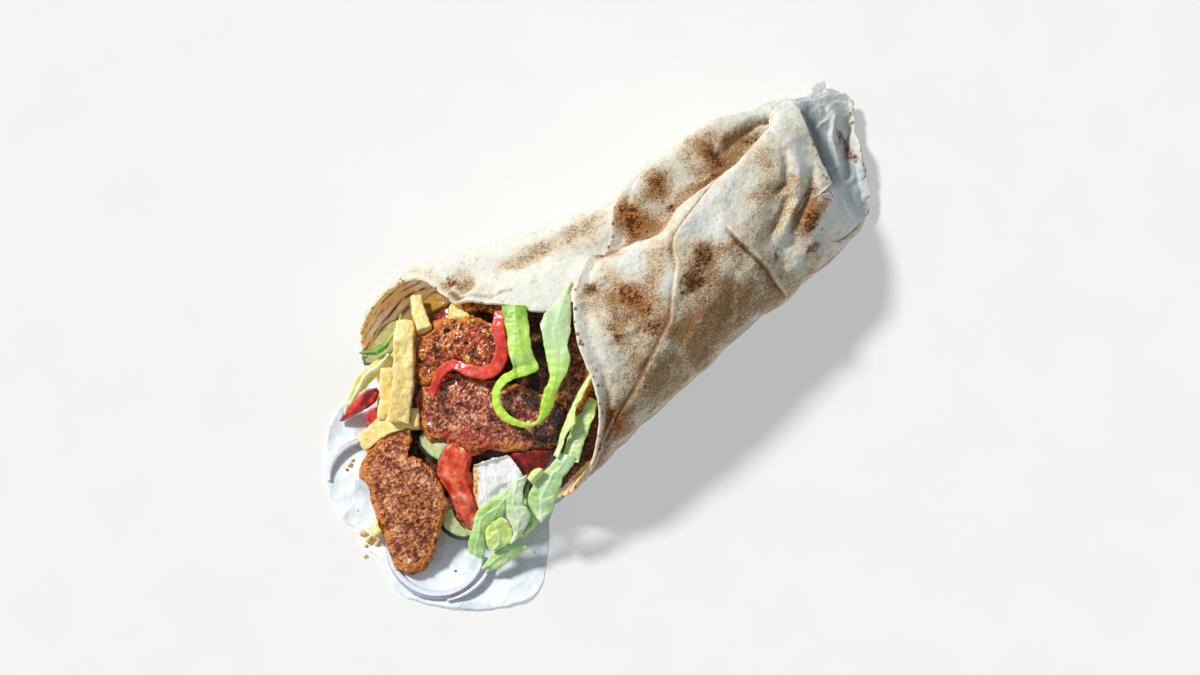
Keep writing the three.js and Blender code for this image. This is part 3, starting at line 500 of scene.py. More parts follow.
# Sharp overlapping pleats: points, height of the lip on the line's left, its reach, and
# where along it the lip's edge carries a painted highlight: the middle and half the length,
# as shares. Painted shade darkens the groove beside each lip.
PLEATS = [
    ([[192, -44], [200, -36], [208, -26], [216, -15], [224, -5], [231, 4], [238, 14], [250, 21],
      [261, 29], [270, 32], [274, 36], [277, 44], [282, 56], [290, 73]], 0.9, 14.0, 0.62, 0.14),
    ([[190, 66], [208, 64], [223, 63], [232, 61], [246, 58], [262, 56]], 2.2, 5.0, 0.25, 0.35),
    ([[324, 112], [331, 106], [332, 101], [327, 94], [320, 84], [312, 74]], 2.4, 6.0, 0.9, 0.05),
    ([[186, -50], [196, -42], [206, -33], [214, -24]], 0.8, 4.0, 0.5, 0.3),
    ([[-64, -34], [-63, -43], [-58, -50], [-48, -57]], 0.8, 3.0, 0.5, 0.4),
]
# The tear in the flap's edge: winding angle, half its width in degrees, and its depth
TORN_SLIT = (244.5, 2.7, 9.5)
# Toasted patches, and some painted shade: winding angle, x, half its size round and along
# the roll, and strength. The three at winding angles -47 to -38 paint shade in the valley
# across the inner panel; the long ones at 297 and 302 paint shade, with some toasting, on
# the valley wall under the upper roll.
TOASTED = [
    [314, 42, 6, 7, 0.7], [306, 26, 11, 11, 0.75], [294, 8, 8, 7, 0.65], [260, 6, 12, 11, 0.75],
    [252, 38, 13, 13, 0.8], [310, 73, 12, 10, 0.7], [234, 96, 10, 10, 0.75],
    [208, -27, 11, 9, 0.75],
    [318, 92, 7, 9, 0.5], [274, -7, 5, 5, 0.5], [266, 22, 9, 14, 0.3], [248, -9, 9, 5, 0.45],
    [244, 11, 8, 8, 0.4], [276, 88, 10, 10, 0.35], [302, 52, 5, 30, 0.45], [230, 92, 8, 8, 0.5],
    [218, 30, 24, 32, 0.6], [206, 52, 20, 26, 0.45], [242, 74, 6, 9, 0.35], [249, 99, 5, 9, 0.4],
    [210, -4, 18, 16, 0.5], [297, 28, 4, 18, 0.5], [190, -40, 14, 9, 0.4], [262, 84, 8, 14, 0.3],
    [-46, -28, 5, 12, 0.55], [-47, -10, 5, 14, 0.55], [-38, 8, 5, 12, 0.5], [-34, 30, 12, 8, 0.3],
    [-20, -62, 8, 8, 0.3], [-96, 132, 14, 4, 0.7], [-76, 141, 8, 3, 0.4], [-46, -48, 6, 5, 0.6],
    [-80, 126, 20, 4, 0.4], [-50, -56, 8, 3, 0.8], [230, 10, 12, 14, 0.4], [256, 96, 8, 12, 0.4],
]
# Floury white places in the same form
FLOURED = [
    [273, 12, 5, 6, 0.6], [268, 50, 7, 8, 0.5], [304, 14, 3, 9, 0.6], [320, 34, 3, 6, 0.5],
    [284, -6, 5, 7, 0.5], [268, 104, 9, 6, 0.25], [256, 24, 3, 5, 0.3], [220, 76, 14, 8, 0.4],
    [-64, -28, 8, 14, 0.5], [-62, -6, 10, 10, 0.45], [-60, 122, 40, 7, 0.4], [258, -22, 16, 4, 0.3],
    [-8, 0, 14, 46, 0.6], [-70, 10, 8, 40, 0.5], [336, 60, 6, 40, 0.35],
    [-140, 124, 30, 14, 0.4], [240, -20, 12, 8, 0.3],
    [-50, -36, 6, 8, 0.4], [316, 108, 8, 12, 0.3],
]
# Scorched spots: the same, and how orange they are
SCORCHED = [
    [315, 45, 2.8, 3.6, 0.8, 0.5], [308, 27, 5.4, 5.4, 0.95, 0.9], [293, 7, 3.4, 4.0, 0.85, 0.6],
    [261, 6, 5.2, 4.6, 0.95, 1.0], [255, 41, 4.6, 5.0, 0.8, 0.1], [248, 32, 4.4, 5.6, 0.85, 0.1],
    [312, 73, 4.5, 3.4, 0.75, 0.2], [234, 94, 4.0, 4.0, 0.95, 0.8], [229, 91, 4.0, 4.0, 0.8, 0.2],
    [208, -28, 6.0, 4.6, 1.0, 1.0], [274, -7, 2.4, 2.6, 0.75, 0.4], [211, 86, 4.0, 4.0, 0.6, 0.1],
    [248, -9, 5.0, 2.0, 0.55, 0.8], [247, 24, 2.6, 4.0, 0.5, 0.4], [262, 88, 1.4, 4.0, 0.4, 0.4],
    [251, 8, 4.0, 5.0, 0.6, 0.9], [240, 6, 3.0, 5.0, 0.6, 0.8], [222, 70, 4.0, 4.0, 0.5, 0.1],
    [303, 44, 2.4, 3.0, 0.5, 0.2], [249, 99, 1.6, 5.0, 0.5, 0.1], [-92, 134, 14, 2.2, 0.6, 0.1],
    [320, 94, 3.0, 5.0, 0.6, 0.2], [304, 68, 1.2, 6.0, 0.5, 0.8], [-44, -52, 5.0, 2.6, 0.7, 1.0],
    [-58, -56, 4.0, 2.0, 0.5, 1.0],
]
BREAD_ROWS = 262
EDGE_ROUND = 0.9
FRONT_TORN = 0.45
TAIL_TORN = 0.5
MM_PER_DEGREE = 0.78
CHAR_ROW_GAP = 5.6
# The mesh is finer along its edges, in mm and in degrees, and each stretch of the winding
# has its own step: where the stretch ends, and the step in degrees
BORDER_STEPS = np.array([0, 0.1, 0.35, 0.75, 1.3])
BORDER_MM = 2.0
BORDER_DEGREES = 2.2
WIND_STEPS = [(-165, 2.0), (30, 0.9), (150, 2.5), (242, 0.8), (247, 0.3), (340, 0.8),
              (WIND_END, 1.6)]


def smooth(table, place):
    """Reads a table of [place, value] knots along one smooth curve."""
    knots, values = np.array(table, float).T
    number = np.arange(len(knots))
    last = len(knots) - 1
    place = np.clip(place, knots[0], knots[-1])
    i = np.clip(np.searchsorted(knots, place, side="right") - 1, 0, last - 1)
    before, after = np.maximum(number - 1, 0), np.minimum(number + 1, last)
    slope = (values[after] - values[before]) / (knots[after] - knots[before])
    width = knots[i + 1] - knots[i]
    t = (place - knots[i]) / width
    ends = values[i] * (1 + 2 * t) * (1 - t) ** 2 + values[i + 1] * t * t * (3 - 2 * t)
    return ends + width * (slope[i] * t * (1 - t) ** 2 - slope[i + 1] * t * t * (1 - t))


def bell(away, width):
    """1 where away is 0, falling off softly over the width on both sides."""
    return np.exp(-((away / width) ** 2))


def two_faced(rows, columns, flipped=False):
    """The faces of a thin sheet: a grid of points, its other side, and the rim between."""
    count = rows * columns
    sides = grid_faces(rows, columns)
    index = np.arange(count).reshape(rows, columns)
    border = np.concatenate([index[:-1, 0], index[-1, :-1], index[:0:-1, -1], index[0, :0:-1]])
    after = np.roll(border, -1)
    rims = np.stack([border, border + count, after + count, after], axis=1)
    if flipped:
        sides, rims = sides[:, ::-1], rims[:, ::-1]
    return np.vstack([sides, sides[:, ::-1] + count, rims])


def from_line(line, wind, x):
    """Signed distance in mm from a line on the roll, + on its left, and the share along."""
    round_mm = np.radians(wind) * FOLD_RADIUS
    ends = [(math.radians(w) * FOLD_RADIUS, place) for w, place in line]
    lengths = [math.dist(a, b) for a, b in zip(ends, ends[1:])]
    best = np.full(np.shape(x), np.inf)
    share = np.zeros(np.shape(x))
    side = np.ones(np.shape(x))
    for k, ((a, ax), (b, bx)) in enumerate(zip(ends, ends[1:])):
        step = lengths[k]
        t = np.clip(((round_mm - a) * (b - a) + (x - ax) * (bx - ax)) / step**2, 0, 1)
        away = np.hypot(round_mm - a - t * (b - a), x - ax - t * (bx - ax))
        nearer = away < best
        best = np.where(nearer, away, best)
        turned = (b - a) * (x - ax) - (bx - ax) * (round_mm - a)
        side = np.where(nearer, np.sign(turned), side)
        share = np.where(nearer, (sum(lengths[:k]) + t * step) / sum(lengths), share)
    return best * side, share


def roll_point(wind, x, out):
    """A point `out` mm outside the middle of the innermost turn."""
    angle = np.radians(-wind)
    growth_under = PITCH * (UNDER - WIND_START) / 360
    growth_over = PITCH * (OVER - WIND_START) / 360
    slant = smooth(TAIL_SLANT, x) * ((1 - np.cos(angle)) / 2) ** SLANT_EASE
    top = smooth(TOP_HEIGHT, x + slant)
    half_height = (top - BREAD_FLOOR - SHEET - growth_under - growth_over) / 2
    axis = BREAD_FLOOR + SHEET / 2 + growth_under + half_height
    c, s = np.cos(angle), np.sin(angle)
    power = 2 / np.where(s > 0, UPPER_SQUARENESS, smooth(LOWER_SQUARENESS, x))
    half_width = smooth(HALF_WIDTH, x) - SIDE_DEPTH + out
    y = smooth(MIDDLE, x) + half_width * np.sign(c) * np.abs(c) ** power
    z = axis + (half_height + out) * np.sign(s) * np.abs(s) ** power
    return np.stack(np.broadcast_arrays(x, y, z), axis=-1)


def patches(table, wind, x, edge, soft=(1.5, 0.35)):
    """How strongly the patches of a table reach each place, with an uneven edge."""
    strength = np.zeros(np.shape(x))
    for at_wind, at_x, half_round, half_along, most, *_ in table:
        away = np.hypot(np.radians(wind - at_wind) * FOLD_RADIUS / half_round,
                        (x - at_x) / half_along)
        strength = np.maximum(strength, most * soft_step(*soft, away + edge))
    return strength


winds = [WIND_START + BORDER_STEPS]
at = WIND_START + BORDER_DEGREES
for stop, step in WIND_STEPS:
    last_stop = min(stop, WIND_END - BORDER_DEGREES)
    number = max(int(round((last_stop - at) / step)), 1)
    winds.append(np.linspace(at, last_stop, number, endpoint=False))
    at = last_stop
winds.append([at])
winds.append(WIND_END - BORDER_STEPS[::-1])
wind = np.concatenate(winds)[:, None]

along_edge = flat_places(wind * MM_PER_DEGREE)
front = smooth(FRONT_EDGE, wind) + FRONT_TORN * drift(along_edge, 7, 5, 3)[:, None]
tail = smooth(TAIL_EDGE, wind) + TAIL_TORN * drift(along_edge, 6, 6, 3)[:, None]
slit_wind, slit_half, slit_deep = TORN_SLIT
tail -= slit_deep * np.clip(1 - np.abs(wind - slit_wind) / slit_half, 0, 1)
inner_rows = np.linspace(0, 1, BREAD_ROWS)[None, :]
inner_start, inner_end = front + BORDER_MM, tail - BORDER_MM
x = np.hstack([
    front + BORDER_STEPS,
    inner_start + (inner_end - inner_start) * inner_rows,
    tail - BORDER_STEPS[::-1],
])
wind = np.broadcast_to(wind, x.shape)
round_mm = np.radians(wind) * FOLD_RADIUS
turn_mm = np.radians(wind % 360) * FOLD_RADIUS
from_front, from_tail = x - front, tail - x
from_ends = np.minimum(wind - WIND_START, WIND_END - wind) * FOLD_RADIUS * math.pi / 180
from_edge = np.minimum(np.minimum(from_front, from_tail), from_ends)
rounding = (1 - from_edge / EDGE_ROUND).clip(0, 1)
half_thick = SHEET / 2 * np.sqrt(np.clip(1 - rounding**2, 0.03, 1))

shared = np.zeros(x.shape)
for line, height, left, right in BROAD_FOLDS:
    away, _ = from_line(line, wind % 360, x)
    shared += height * bell(away, np.where(away > 0, left, right))
turn_places = flat_places(turn_mm, x)
own_places = flat_places(round_mm, x)
shape = x.shape
broad = 0.7 * drift(turn_places, 26, 11).reshape(shape) * soft_step(0, 12, from_edge)
own = (0.5 * drift(own_places, 10, 12, 2) + 0.12 * drift(own_places, 2.6, 13)).reshape(shape)
for line, height, width in WRINKLES:
    away, share = from_line(line, wind, x)
    width = width * (0.85 + 0.15 * np.sin(share * 9))
    own = own + height * bell(away, width) * np.sin(math.pi * share) ** 0.6
pleat_light = np.zeros(shape)
pleat_dark = np.zeros(shape)
for line, height, reach_out, pale_at, pale_long in PLEATS:
    away, share = from_line(line, wind, x)
    fade = np.clip(np.sin(math.pi * share) * 2.2, 0, 1)
    lip = np.exp(-np.clip(away, 0, None) / reach_out)
    groove = -0.7 * bell(np.clip(-away, 0, None), 2.4)
    own = own + height * fade * (groove + (lip - groove) * soft_step(-0.7, 0.5, away))
    # A painted highlight along the lip's edge, and painted shade in the groove beside it.
    pale = bell(share - pale_at, pale_long)
    pleat_light = np.maximum(pleat_light, pale * bell(away - 0.7, 0.7))
    shade = fade * (1 - 0.75 * pale) * bell(away + 0.6, 0.7)
    pleat_dark = np.maximum(pleat_dark, shade)
outer_turn = soft_step(150, 170, wind)
low_rim = soft_step(184, 196, wind) * soft_step(268, 246, wind)
curl = 0.8 + 0.5 * low_rim
own = own + curl * bell(from_front, 2.4) * outer_turn
own = own - curl * bell(from_front - 6.5, 2.2) * outer_turn
flap = soft_step(236, 250, wind) * soft_step(340, 320, wind)
own = own + 1.2 * flap * bell(from_tail, 4.5)
flap_edge = smooth(TAIL_EDGE, wind + 360)
past_flap = x - flap_edge
slit_below = bell(wind - slit_wind + 360, 1.6)
slit_below = slit_below * soft_step(-9, -6, past_flap) * soft_step(1.5, -0.5, past_flap)
under_flap = soft_step(-122, -110, wind) * soft_step(-28, -38, wind)
under_shade = under_flap * bell(past_flap - 3.0, 4.0)
own = own - 5.0 * under_flap * bell(past_flap - 4, 5.5)
own = own - 1.5 * slit_below * under_flap
crumpled = np.abs(drift(own_places, 13, 14, 2).reshape(shape))
tucked = soft_step(60, 20, wind)
own = own + (2.2 * (0.3 - crumpled) * soft_step(112, 130, x) * tucked
             * soft_step(-136, -112, wind))

out = PITCH * (wind - WIND_START) / 360 + shared + broad + own
outer_face = roll_point(wind, x, out + half_thick)
inner_face = roll_point(wind, x, out - half_thick)

ragged = 0.5 * drift(own_places, 9, 15, 3).reshape(shape)
mottle = drift(own_places, 15, 16, 3).reshape(shape)
# Toasting with painted shade mixed in: browner where the sheet sinks into a fold or groove, beside
# the pleats' lips, and on the outer turn's lower flank, which faces away from the sun.
toast = 0.02 + 0.16 * outer_turn + 0.16 * mottle - 0.07 * np.clip(own, -2, 2) - 0.015 * shared
toast = toast + patches(TOASTED, wind, x, ragged, (1.9, 0.0))
toast = toast - patches(FLOURED, wind, x, ragged, (1.9, 0.0))
toast = toast + 0.16 * soft_step(262, 225, wind) * outer_turn + 0.4 * pleat_dark
scorch = patches(SCORCHED, wind, x, 0.7 * ragged, (1.7, 0.1))
orange_spots = [[*spot[:4], spot[4] * spot[5]] for spot in SCORCHED]
ember = patches(orange_spots, wind, x, 0 * x, (2, 0.4))
wavering = turn_mm + 1.2 * drift(own_places, 12, 18).reshape(shape)
char_rows = np.abs(wavering / CHAR_ROW_GAP % 1 - 0.5) * 2
char_marks = drift(flat_places(round_mm, x * 0.4), 2.2, 17, 2).reshape(shape)
dashes = soft_step(0.56, 0.26, char_rows) * soft_step(-0.1, 0.3, char_marks)
# Painted shade: the tucked tail and the low corner of the flap's hem are painted a bluish grey
# where they lie in shadow.
damp = soft_step(104, 116, x) * tucked * soft_step(-175, -150, wind)
damp_hem = soft_step(12, 2, from_tail) * soft_step(196, 206, wind) * soft_step(240, 226, wind)
unmarked = np.zeros(shape)
marks = {
    "toast": (np.clip(toast, 0, 1),) * 2,
    "scorch": (scorch,) * 2,
    "ember": (ember,) * 2,
    "rim": (np.clip(1 - from_edge / (3 + 3 * low_rim), 0, 1),) * 2,
    "lining": (unmarked, np.clip(1 - 0.02 * x, 0.1, 1)),
    "dashes": (dashes,) * 2,
    "damp": (np.maximum(damp, damp_hem),) * 2,
    "shade": (np.maximum(0.9 * under_shade, slit_below * under_flap),) * 2,
    "pleat_light": (pleat_light, unmarked),
    "pleat_dark": (pleat_dark, unmarked),
}
bread_piece = new_piece(
    "rolled_flatbread",
    np.vstack([outer_face.reshape(-1, 3), inner_face.reshape(-1, 3)]),
    two_faced(*shape),
    **{mark: np.stack(outer_and_inner) for mark, outer_and_inner in marks.items()},
)

bread_finish, place = new_material("toasted flatbread")
scorch = place.mark("scorch")
rim = place.mark("rim")
speck = place.cloud(0.8, 2)
coarse_speck = place.cloud(2.4, 3)
streak = place.cloud(0.7, 2, stretch=(2.6, 0.7, 0.7), turn=50)
flour = place.cloud(10, 4)
toast = place.mark("toast") + (flour - 0.5) * 0.9 + (coarse_speck - 0.5) * 0.3
crust = toast.rise(-0.05, 0.45).blend(tint(228, 228, 218), tint(224, 210, 184))
crust = toast.rise(0.3, 1.0).blend(crust, tint(190, 152, 104))
freckled = (speck + toast * 0.22).rise(0.57, 0.7) * toast.rise(0.05, 0.6)
crust = (freckled * 0.62).blend(crust, tint(124, 80, 40))
# The bluish grey of the painted shade on the tail and the hem's corner.
damp_crust = flour.rise(0.35, 0.65).blend(tint(168, 182, 186), tint(214, 222, 224))
crust = (place.mark("damp") * 0.7).blend(crust, damp_crust)
dots = (1 - place.dots(4.2)).rise(0.84, 0.91) * toast.rise(0.25, 0.7)
crust = (dots * 0.85).blend(crust, tint(74, 42, 18))
brown = place.mark("ember").blend(tint(132, 88, 44), tint(206, 122, 34))
browned = (scorch + (coarse_speck - 0.5) * 1.1 + (streak - 0.5) * 1.0).rise(0.05, 0.65)
crust = (browned * 0.8).blend(crust, brown)
burnt = (scorch * 1.1 + (streak - 0.5) * 4.6 + (coarse_speck - 0.5) * 2.4).rise(0.6, 0.95)
burnt = burnt * scorch.rise(0.1, 0.4)
crust = (burnt * 0.9).blend(crust, tint(54, 24, 8))
# Painted shade in the pleats' grooves, and a painted highlight along their lips.
creased = place.mark("pleat_dark") * (coarse_speck.rise(0.3, 0.6) * 0.4 + 0.45)
crust = creased.blend(crust, tint(104, 64, 32))
# Painted shade under the flap's edge and down the tear in it.
crust = (place.mark("shade") * 0.9).blend(crust, tint(60, 72, 74))
crust = (place.mark("pleat_light") * 0.8).blend(crust, tint(240, 224, 192))
crust = (rim * 0.8).blend(crust, tint(240, 230, 208))
baked_lining = flour.rise(0.3, 0.7).blend(tint(234, 184, 118), tint(244, 222, 180))
baked_lining = (place.mark("dashes") * 0.9).blend(baked_lining, tint(70, 30, 16))
crust = place.mark("lining").blend(crust, baked_lining)
# The inner face glows a little, most near the mouth: painted light for sun shining through the thin
# bread.
sunlit = place.mark("lining").blend((0.0, 0.0, 0.0, 1.0), baked_lining)
rim_dots = (1 - place.dots(3.4)).rise(0.7, 0.82) * rim.rise(0.1, 0.4)
crust = (rim_dots * 0.8).blend(crust, tint(112, 62, 30))
relief = place.bump(speck * 0.5 + coarse_speck + place.cloud(6, 3) * 2.0, 0.5)
coat(place, crust, 0.6 + speck * 0.25, relief, 0.3, scatter=(0.25, (1.6, 0.9, 0.4), 0.0014),
     glow=(sunlit, 0.3))
fit(bread_piece, bread_finish, "flatbread", "flatbread")


# ---- the meat ------------------------------------------------------------------------
# Thin slices shaved from a turning spit of pressed minced meat: crumbly and pitted on the
# cut faces, crisp and golden along the edges, wet with fat and scorched here and there.
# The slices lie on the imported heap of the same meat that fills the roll.

HEAP_AXIS_Z = 30


class Form:
    """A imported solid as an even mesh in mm, carved with arrays before it is a piece."""

    def __init__(self, node, cell, smoothing=4):
        copy = bpy.data.objects.new("form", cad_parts[node].data.copy())
        scene.collection.objects.link(copy)
        even = copy.modifiers.new("even", "REMESH")
        even.mode = "VOXEL"
        even.voxel_size = cell / 1000
        soften = copy.modifiers.new("soften", "SMOOTH")
        soften.iterations = smoothing
        solved = copy.evaluated_get(bpy.context.evaluated_depsgraph_get())
        mesh = bpy.data.meshes.new_from_object(solved)
        bpy.data.objects.remove(copy)
        self.node = node
        self.points = np.empty(len(mesh.vertices) * 3)
        mesh.vertices.foreach_get("co", self.points)
        self.points = self.points.reshape(-1, 3) * 1000
        self.faces = np.empty(len(mesh.loops), int)
        mesh.loops.foreach_get("vertex_index", self.faces)
        self.faces = self.faces.reshape(-1, 4)
        self.edges = np.empty(len(mesh.edges) * 2, int)
        mesh.edges.foreach_get("vertices", self.edges)
        self.edges = self.edges.reshape(-1, 2)
        self.face_out()

    def face_out(self):
        """Works out which way each point faces."""
        a, b, c, d = (self.points[self.faces[:, k]] for k in range(4))
        across = np.cross(c - a, d - b)
        self.normals = np.zeros_like(self.points)
        for k in range(4):
            for axis in range(3):
                weights = np.bincount(self.faces[:, k], across[:, axis], len(self.points))
                self.normals[:, axis] += weights
        self.normals /= np.linalg.norm(self.normals, axis=1)[:, None] + 1e-9

    def even_out(self, values, rounds):
        """Values averaged again and again with those of the neighbouring points."""
        a, b = self.edges.T
        number = len(self.points)
        joined = np.bincount(a, minlength=number) + np.bincount(b, minlength=number) + 1
        values = np.array(values, float).reshape(number, -1)
        for _ in range(rounds):
            for k in range(values.shape[1]):
                column = values[:, k]
                total = column + np.bincount(a, column[b], number)
                values[:, k] = (total + np.bincount(b, column[a], number)) / joined
        return values.squeeze()

    def edge(self, rounds):
        """1 on a thin rim or a sharp edge, 0 on a flat face."""
        steady = np.linalg.norm(self.even_out(self.normals, rounds), axis=1)
        return np.clip((1 - steady) * 1.6, 0, 1)

    def push(self, out):
        self.points = self.points + self.normals * np.reshape(out, (-1, 1))
        self.face_out()

    def noise(self, size, seed, octaves=1, stretch=(1, 1, 1)):
        return drift(self.points / stretch, size, seed, octaves)

    def piece(self, name, material, slot, **marks):
        made = new_piece(name, self.points, self.faces, **marks)
        return fit(made, material, slot, self.node)


def grilled_finish(name, deep, body, top, crisp, wetness):
    """Shaved grilled meat, from its dark hollows to its pale crumbs and crisp edges. The colour
    follows the relief, so the hollows and pits carry painted shade as well as darker meat, and
    the crumbs' tops carry painted glints.
    """
    material, place = new_material(name)
    grain, pit, scorch = place.mark("grain"), place.mark("pit"), place.mark("scorch")
    crumb = 1 - place.dots(1.6)
    fine = place.cloud(1.0, 4)
    lump = place.cells(2.6)
    patch = place.cloud(7, 4)
    relief = crumb * 0.45 + fine * 1.1 + grain * 0.25
    shown = relief + (patch - 0.5) * 0.6 + (lump - 0.5) * 0.4 + place.mark("lump") * 0.2
    colour = shown.rise(0.5, 0.84).blend(deep, body)
    colour = shown.rise(0.82, 1.1).blend(colour, top)
    browned = (place.mark("edge") * 1.2 + (patch - 0.5) * 2.2 + (lump - 0.5) * 0.8).rise(0.2, 1.0)
    colour = (browned * 0.85 * shown.rise(0.4, 0.75)).blend(colour, crisp)
    colour = (place.mark("stain") * 0.6).blend(colour, tint(196, 52, 28))
    # Painted glints: near-white specks on the crumbs' tops, where wet meat would catch the sun.
    fat = (fine + crumb * 0.4).rise(0.84, 0.96) * (lump + patch).rise(0.9, 1.3)
    colour = (fat * 0.7).blend(colour, tint(250, 218, 176))
    # The pits are darkened: painted shade, partly darker meat.
    colour = (pit * 0.85).blend(colour, tint(44, 20, 10))
    # Dark spots: scorched meat, and on the middle slice painted shade under the lettuce loop.
    colour = (scorch * 0.9).blend(colour, tint(34, 20, 12))
    wet = (patch + grain * 0.2 + fine * 0.4).rise(0.55, 0.9) * (1 - scorch) * wetness
    coat(place, colour, 0.34 + (1 - crumb) * 0.35, place.bump(relief + lump * 0.3, 1.2), 0.6,
         film=(wet, 0.14), scatter=(0.06, (1.0, 0.35, 0.2), 0.001))
    return material


def grilled(name, node, finish, seed, cell=0.45, coarse=0.25, pitted=1.0, scorched=(),
            stained=()):
    """One slice: lumps, crumbs and pits carved into its solid, with a ragged rim."""
    form = Form(node, cell)
    edge = form.edge(7)
    rim = np.clip(form.even_out(np.abs(form.normals[:, 2]) < 0.6, 90) * 2.4, 0, 1)
    grain = form.noise(1.6, seed, 2)
    pit = soft_step(0.62, 1.0, form.noise(3.4, seed + 1, 3))
    ragged = form.noise(2.8, seed + 2, 3)
    lump = form.noise(5.5, seed + 3, 2)
    form.push(-0.15 + 0.9 * lump + coarse * grain
              - 1.4 * pitted * pit + 1.3 * edge * ragged)
    scorch, stain = np.zeros((2, len(form.points)))
    for spots, shade in ((scorched, scorch), (stained, stain)):
        for x, y, radius in spots:
            away = np.hypot(form.points[:, 0] - x, form.points[:, 1] - y) / radius
            shade[:] = np.maximum(shade, soft_step(1.3, 0.5, away + 0.35 * grain + 0.2 * ragged))
    form.piece(name, finish, "meat", grain=grain, pit=pit * pitted, edge=rim, scorch=scorch,
               stain=stain, lump=lump)


dry_meat = grilled_finish("granular meat", tint(116, 48, 16), tint(200, 112, 58),
                          tint(244, 188, 138), tint(226, 132, 24), 0.6)
red_meat = grilled_finish("reddish meat", tint(96, 32, 12), tint(196, 96, 54),
                          tint(240, 186, 154), tint(228, 128, 26), 1.0)
wet_meat = grilled_finish("glossy meat", tint(84, 20, 2), tint(192, 84, 18),
                          tint(240, 168, 84), tint(232, 140, 26), 1.0)
# The slice by the right rim and the heap in the roll get darker copies of the meat: painted shade
# where the roll shades them.
shaded_meat = grilled_finish("dark meat", tint(52, 22, 8), tint(156, 80, 26),
                             tint(212, 140, 70), tint(210, 120, 30), 0.9)
heap_meat = grilled_finish("meat in the roll", tint(46, 24, 14), tint(98, 54, 30),
                           tint(130, 78, 46), tint(110, 60, 30), 0.5)
grilled("meat_slice_on_paper", "meat_slice_front", dry_meat, 101, cell=0.4, pitted=0.5,
        scorched=[(-99.5, 1, 2.2), (-112, -38, 0.9), (-118, -14, 0.8), (-127, -33, 0.7)])
# The four large dark spots on the middle slice lie under the lettuce loop: painted shade there,
# darkened like scorched meat.
grilled("meat_slice_in_the_middle", "meat_slice_middle", red_meat, 111, pitted=0.6,
        scorched=[(-56, -37, 5), (-51, -41, 4), (-47, -34, 6), (-53, -23, 5), (-84, -4, 1.4)],
        stained=[(-84, -19, 5), (-90, -14, 4), (-78, -26, 4)])
grilled("meat_slice_at_the_top", "meat_slice_upper", wet_meat, 121, coarse=0.5, pitted=1.4,
        scorched=[(-62, 8, 2.4), (-74, 20, 1.8), (-66, 24, 1.4)], stained=[(-58, 13, 5)])
grilled("meat_end_at_the_top", "meat_piece_top", wet_meat, 131, coarse=0.4,
        scorched=[(-47, 28, 3)])
grilled("meat_slice_at_the_right", "meat_slice_right", shaded_meat, 141, coarse=0.5,
        scorched=[(-22, -4, 5)])

form = Form("meat_core", 1.0)
x, y, z = form.points.T
heap_wind = np.degrees(np.arctan2(HEAP_AXIS_Z - z, y - smooth(MIDDLE, x))) % 360
sunk = np.zeros(len(x))
for line, height, left, right in BROAD_FOLDS:
    away, _ = from_line(line, heap_wind, x)
    sunk += min(height, 0) * bell(away, np.where(away > 0, left, right))
grain = form.noise(2.2, 151, 2)
pit = soft_step(0.42, 0.8, form.noise(3.6, 152))
form.push(0.5 * grain - pit + sunk - 2.0 * soft_step(-20, 0, x))
form.piece("meat_heap", heap_meat, "meat", grain=grain, pit=pit)


# ---- the slice of chicken ------------------------------------------------------------
# A slice of white breast meat, torn along its fibres, with one golden roasted edge. It
# lies loose in the mouth of the roll, against the slices of meat.

CHICKEN_GRAIN = 72.0
CHICKEN_CUTS = [((-94.5, -41.0), (-87.0, -29.6)), ((-87.0, -29.6), (-72.4, -35.6)),
                ((-72.4, -35.6), (-71.2, -48.0))]
CHICKEN_ROAST = ((-87.0, -29.6), (-94.5, -41.0), 3.0)

form = Form("chicken_slice", 0.4, smoothing=2)
for (ax, ay), (bx, by) in CHICKEN_CUTS:
    length = math.dist((ax, ay), (bx, by))
    nx, ny = -(by - ay) / length, (bx - ax) / length
    beyond = np.clip((form.points[:, 0] - ax) * nx + (form.points[:, 1] - ay) * ny, 0, None)
    form.points[:, 0] -= nx * beyond
    form.points[:, 1] -= ny * beyond
form.face_out()
turn = math.radians(CHICKEN_GRAIN)
along = form.points @ (math.cos(turn), math.sin(turn), 0)
across = form.points @ (-math.sin(turn), math.cos(turn), 0)
fibre = drift(np.stack([along / 9, across / 1.1, form.points[:, 2] / 1.6], axis=1), 1.0, 161, 2)
strand = drift(np.stack([along / 16, across / 3.0, form.points[:, 2] / 3.0], axis=1), 1.0, 162)
edge = form.edge(6)
form.push(-0.1 + 0.2 * fibre + 0.35 * strand + 0.4 * edge * form.noise(3, 163))
(ax, ay), (bx, by), roast_wide = CHICKEN_ROAST
x, y, _ = form.points.T
length = math.dist((ax, ay), (bx, by))
share = np.clip(((x - ax) * (bx - ax) + (y - ay) * (by - ay)) / length**2, 0, 1)
away = np.hypot(x - ax - share * (bx - ax), y - ay - share * (by - ay))
chicken_finish, place = new_material("chicken breast")
white = (place.mark("fibre") * 0.7 + 0.5).blend(tint(232, 232, 228), tint(255, 255, 255))
roast = place.mark("roast")
white = (roast * 0.9).blend(white, tint(232, 196, 104))
white = (roast * place.cloud(2, 3).rise(0.45, 0.6)).blend(white, tint(196, 130, 54))
# The slice glows faintly in its own colour: painted light that keeps it white although it faces
# away from the sun.
coat(place, white, 0.5, place.bump(place.cloud(0.8, 2), 0.15),
     scatter=(0.2, (1.0, 0.8, 0.6), 0.001), glow=(white, 0.12))
form.piece("chicken_breast_slice", chicken_finish, "chicken", fibre=fibre,
           roast=soft_step(roast_wide, 0.8, away + 1.2 * strand))


# ---- the fries and the piece of potato -----------------------------------------------
# Cut potato fried soft inside with a thin blistered skin, browner along its edges. The
# fries lie loose in the mouth of the roll and on the paper before it.

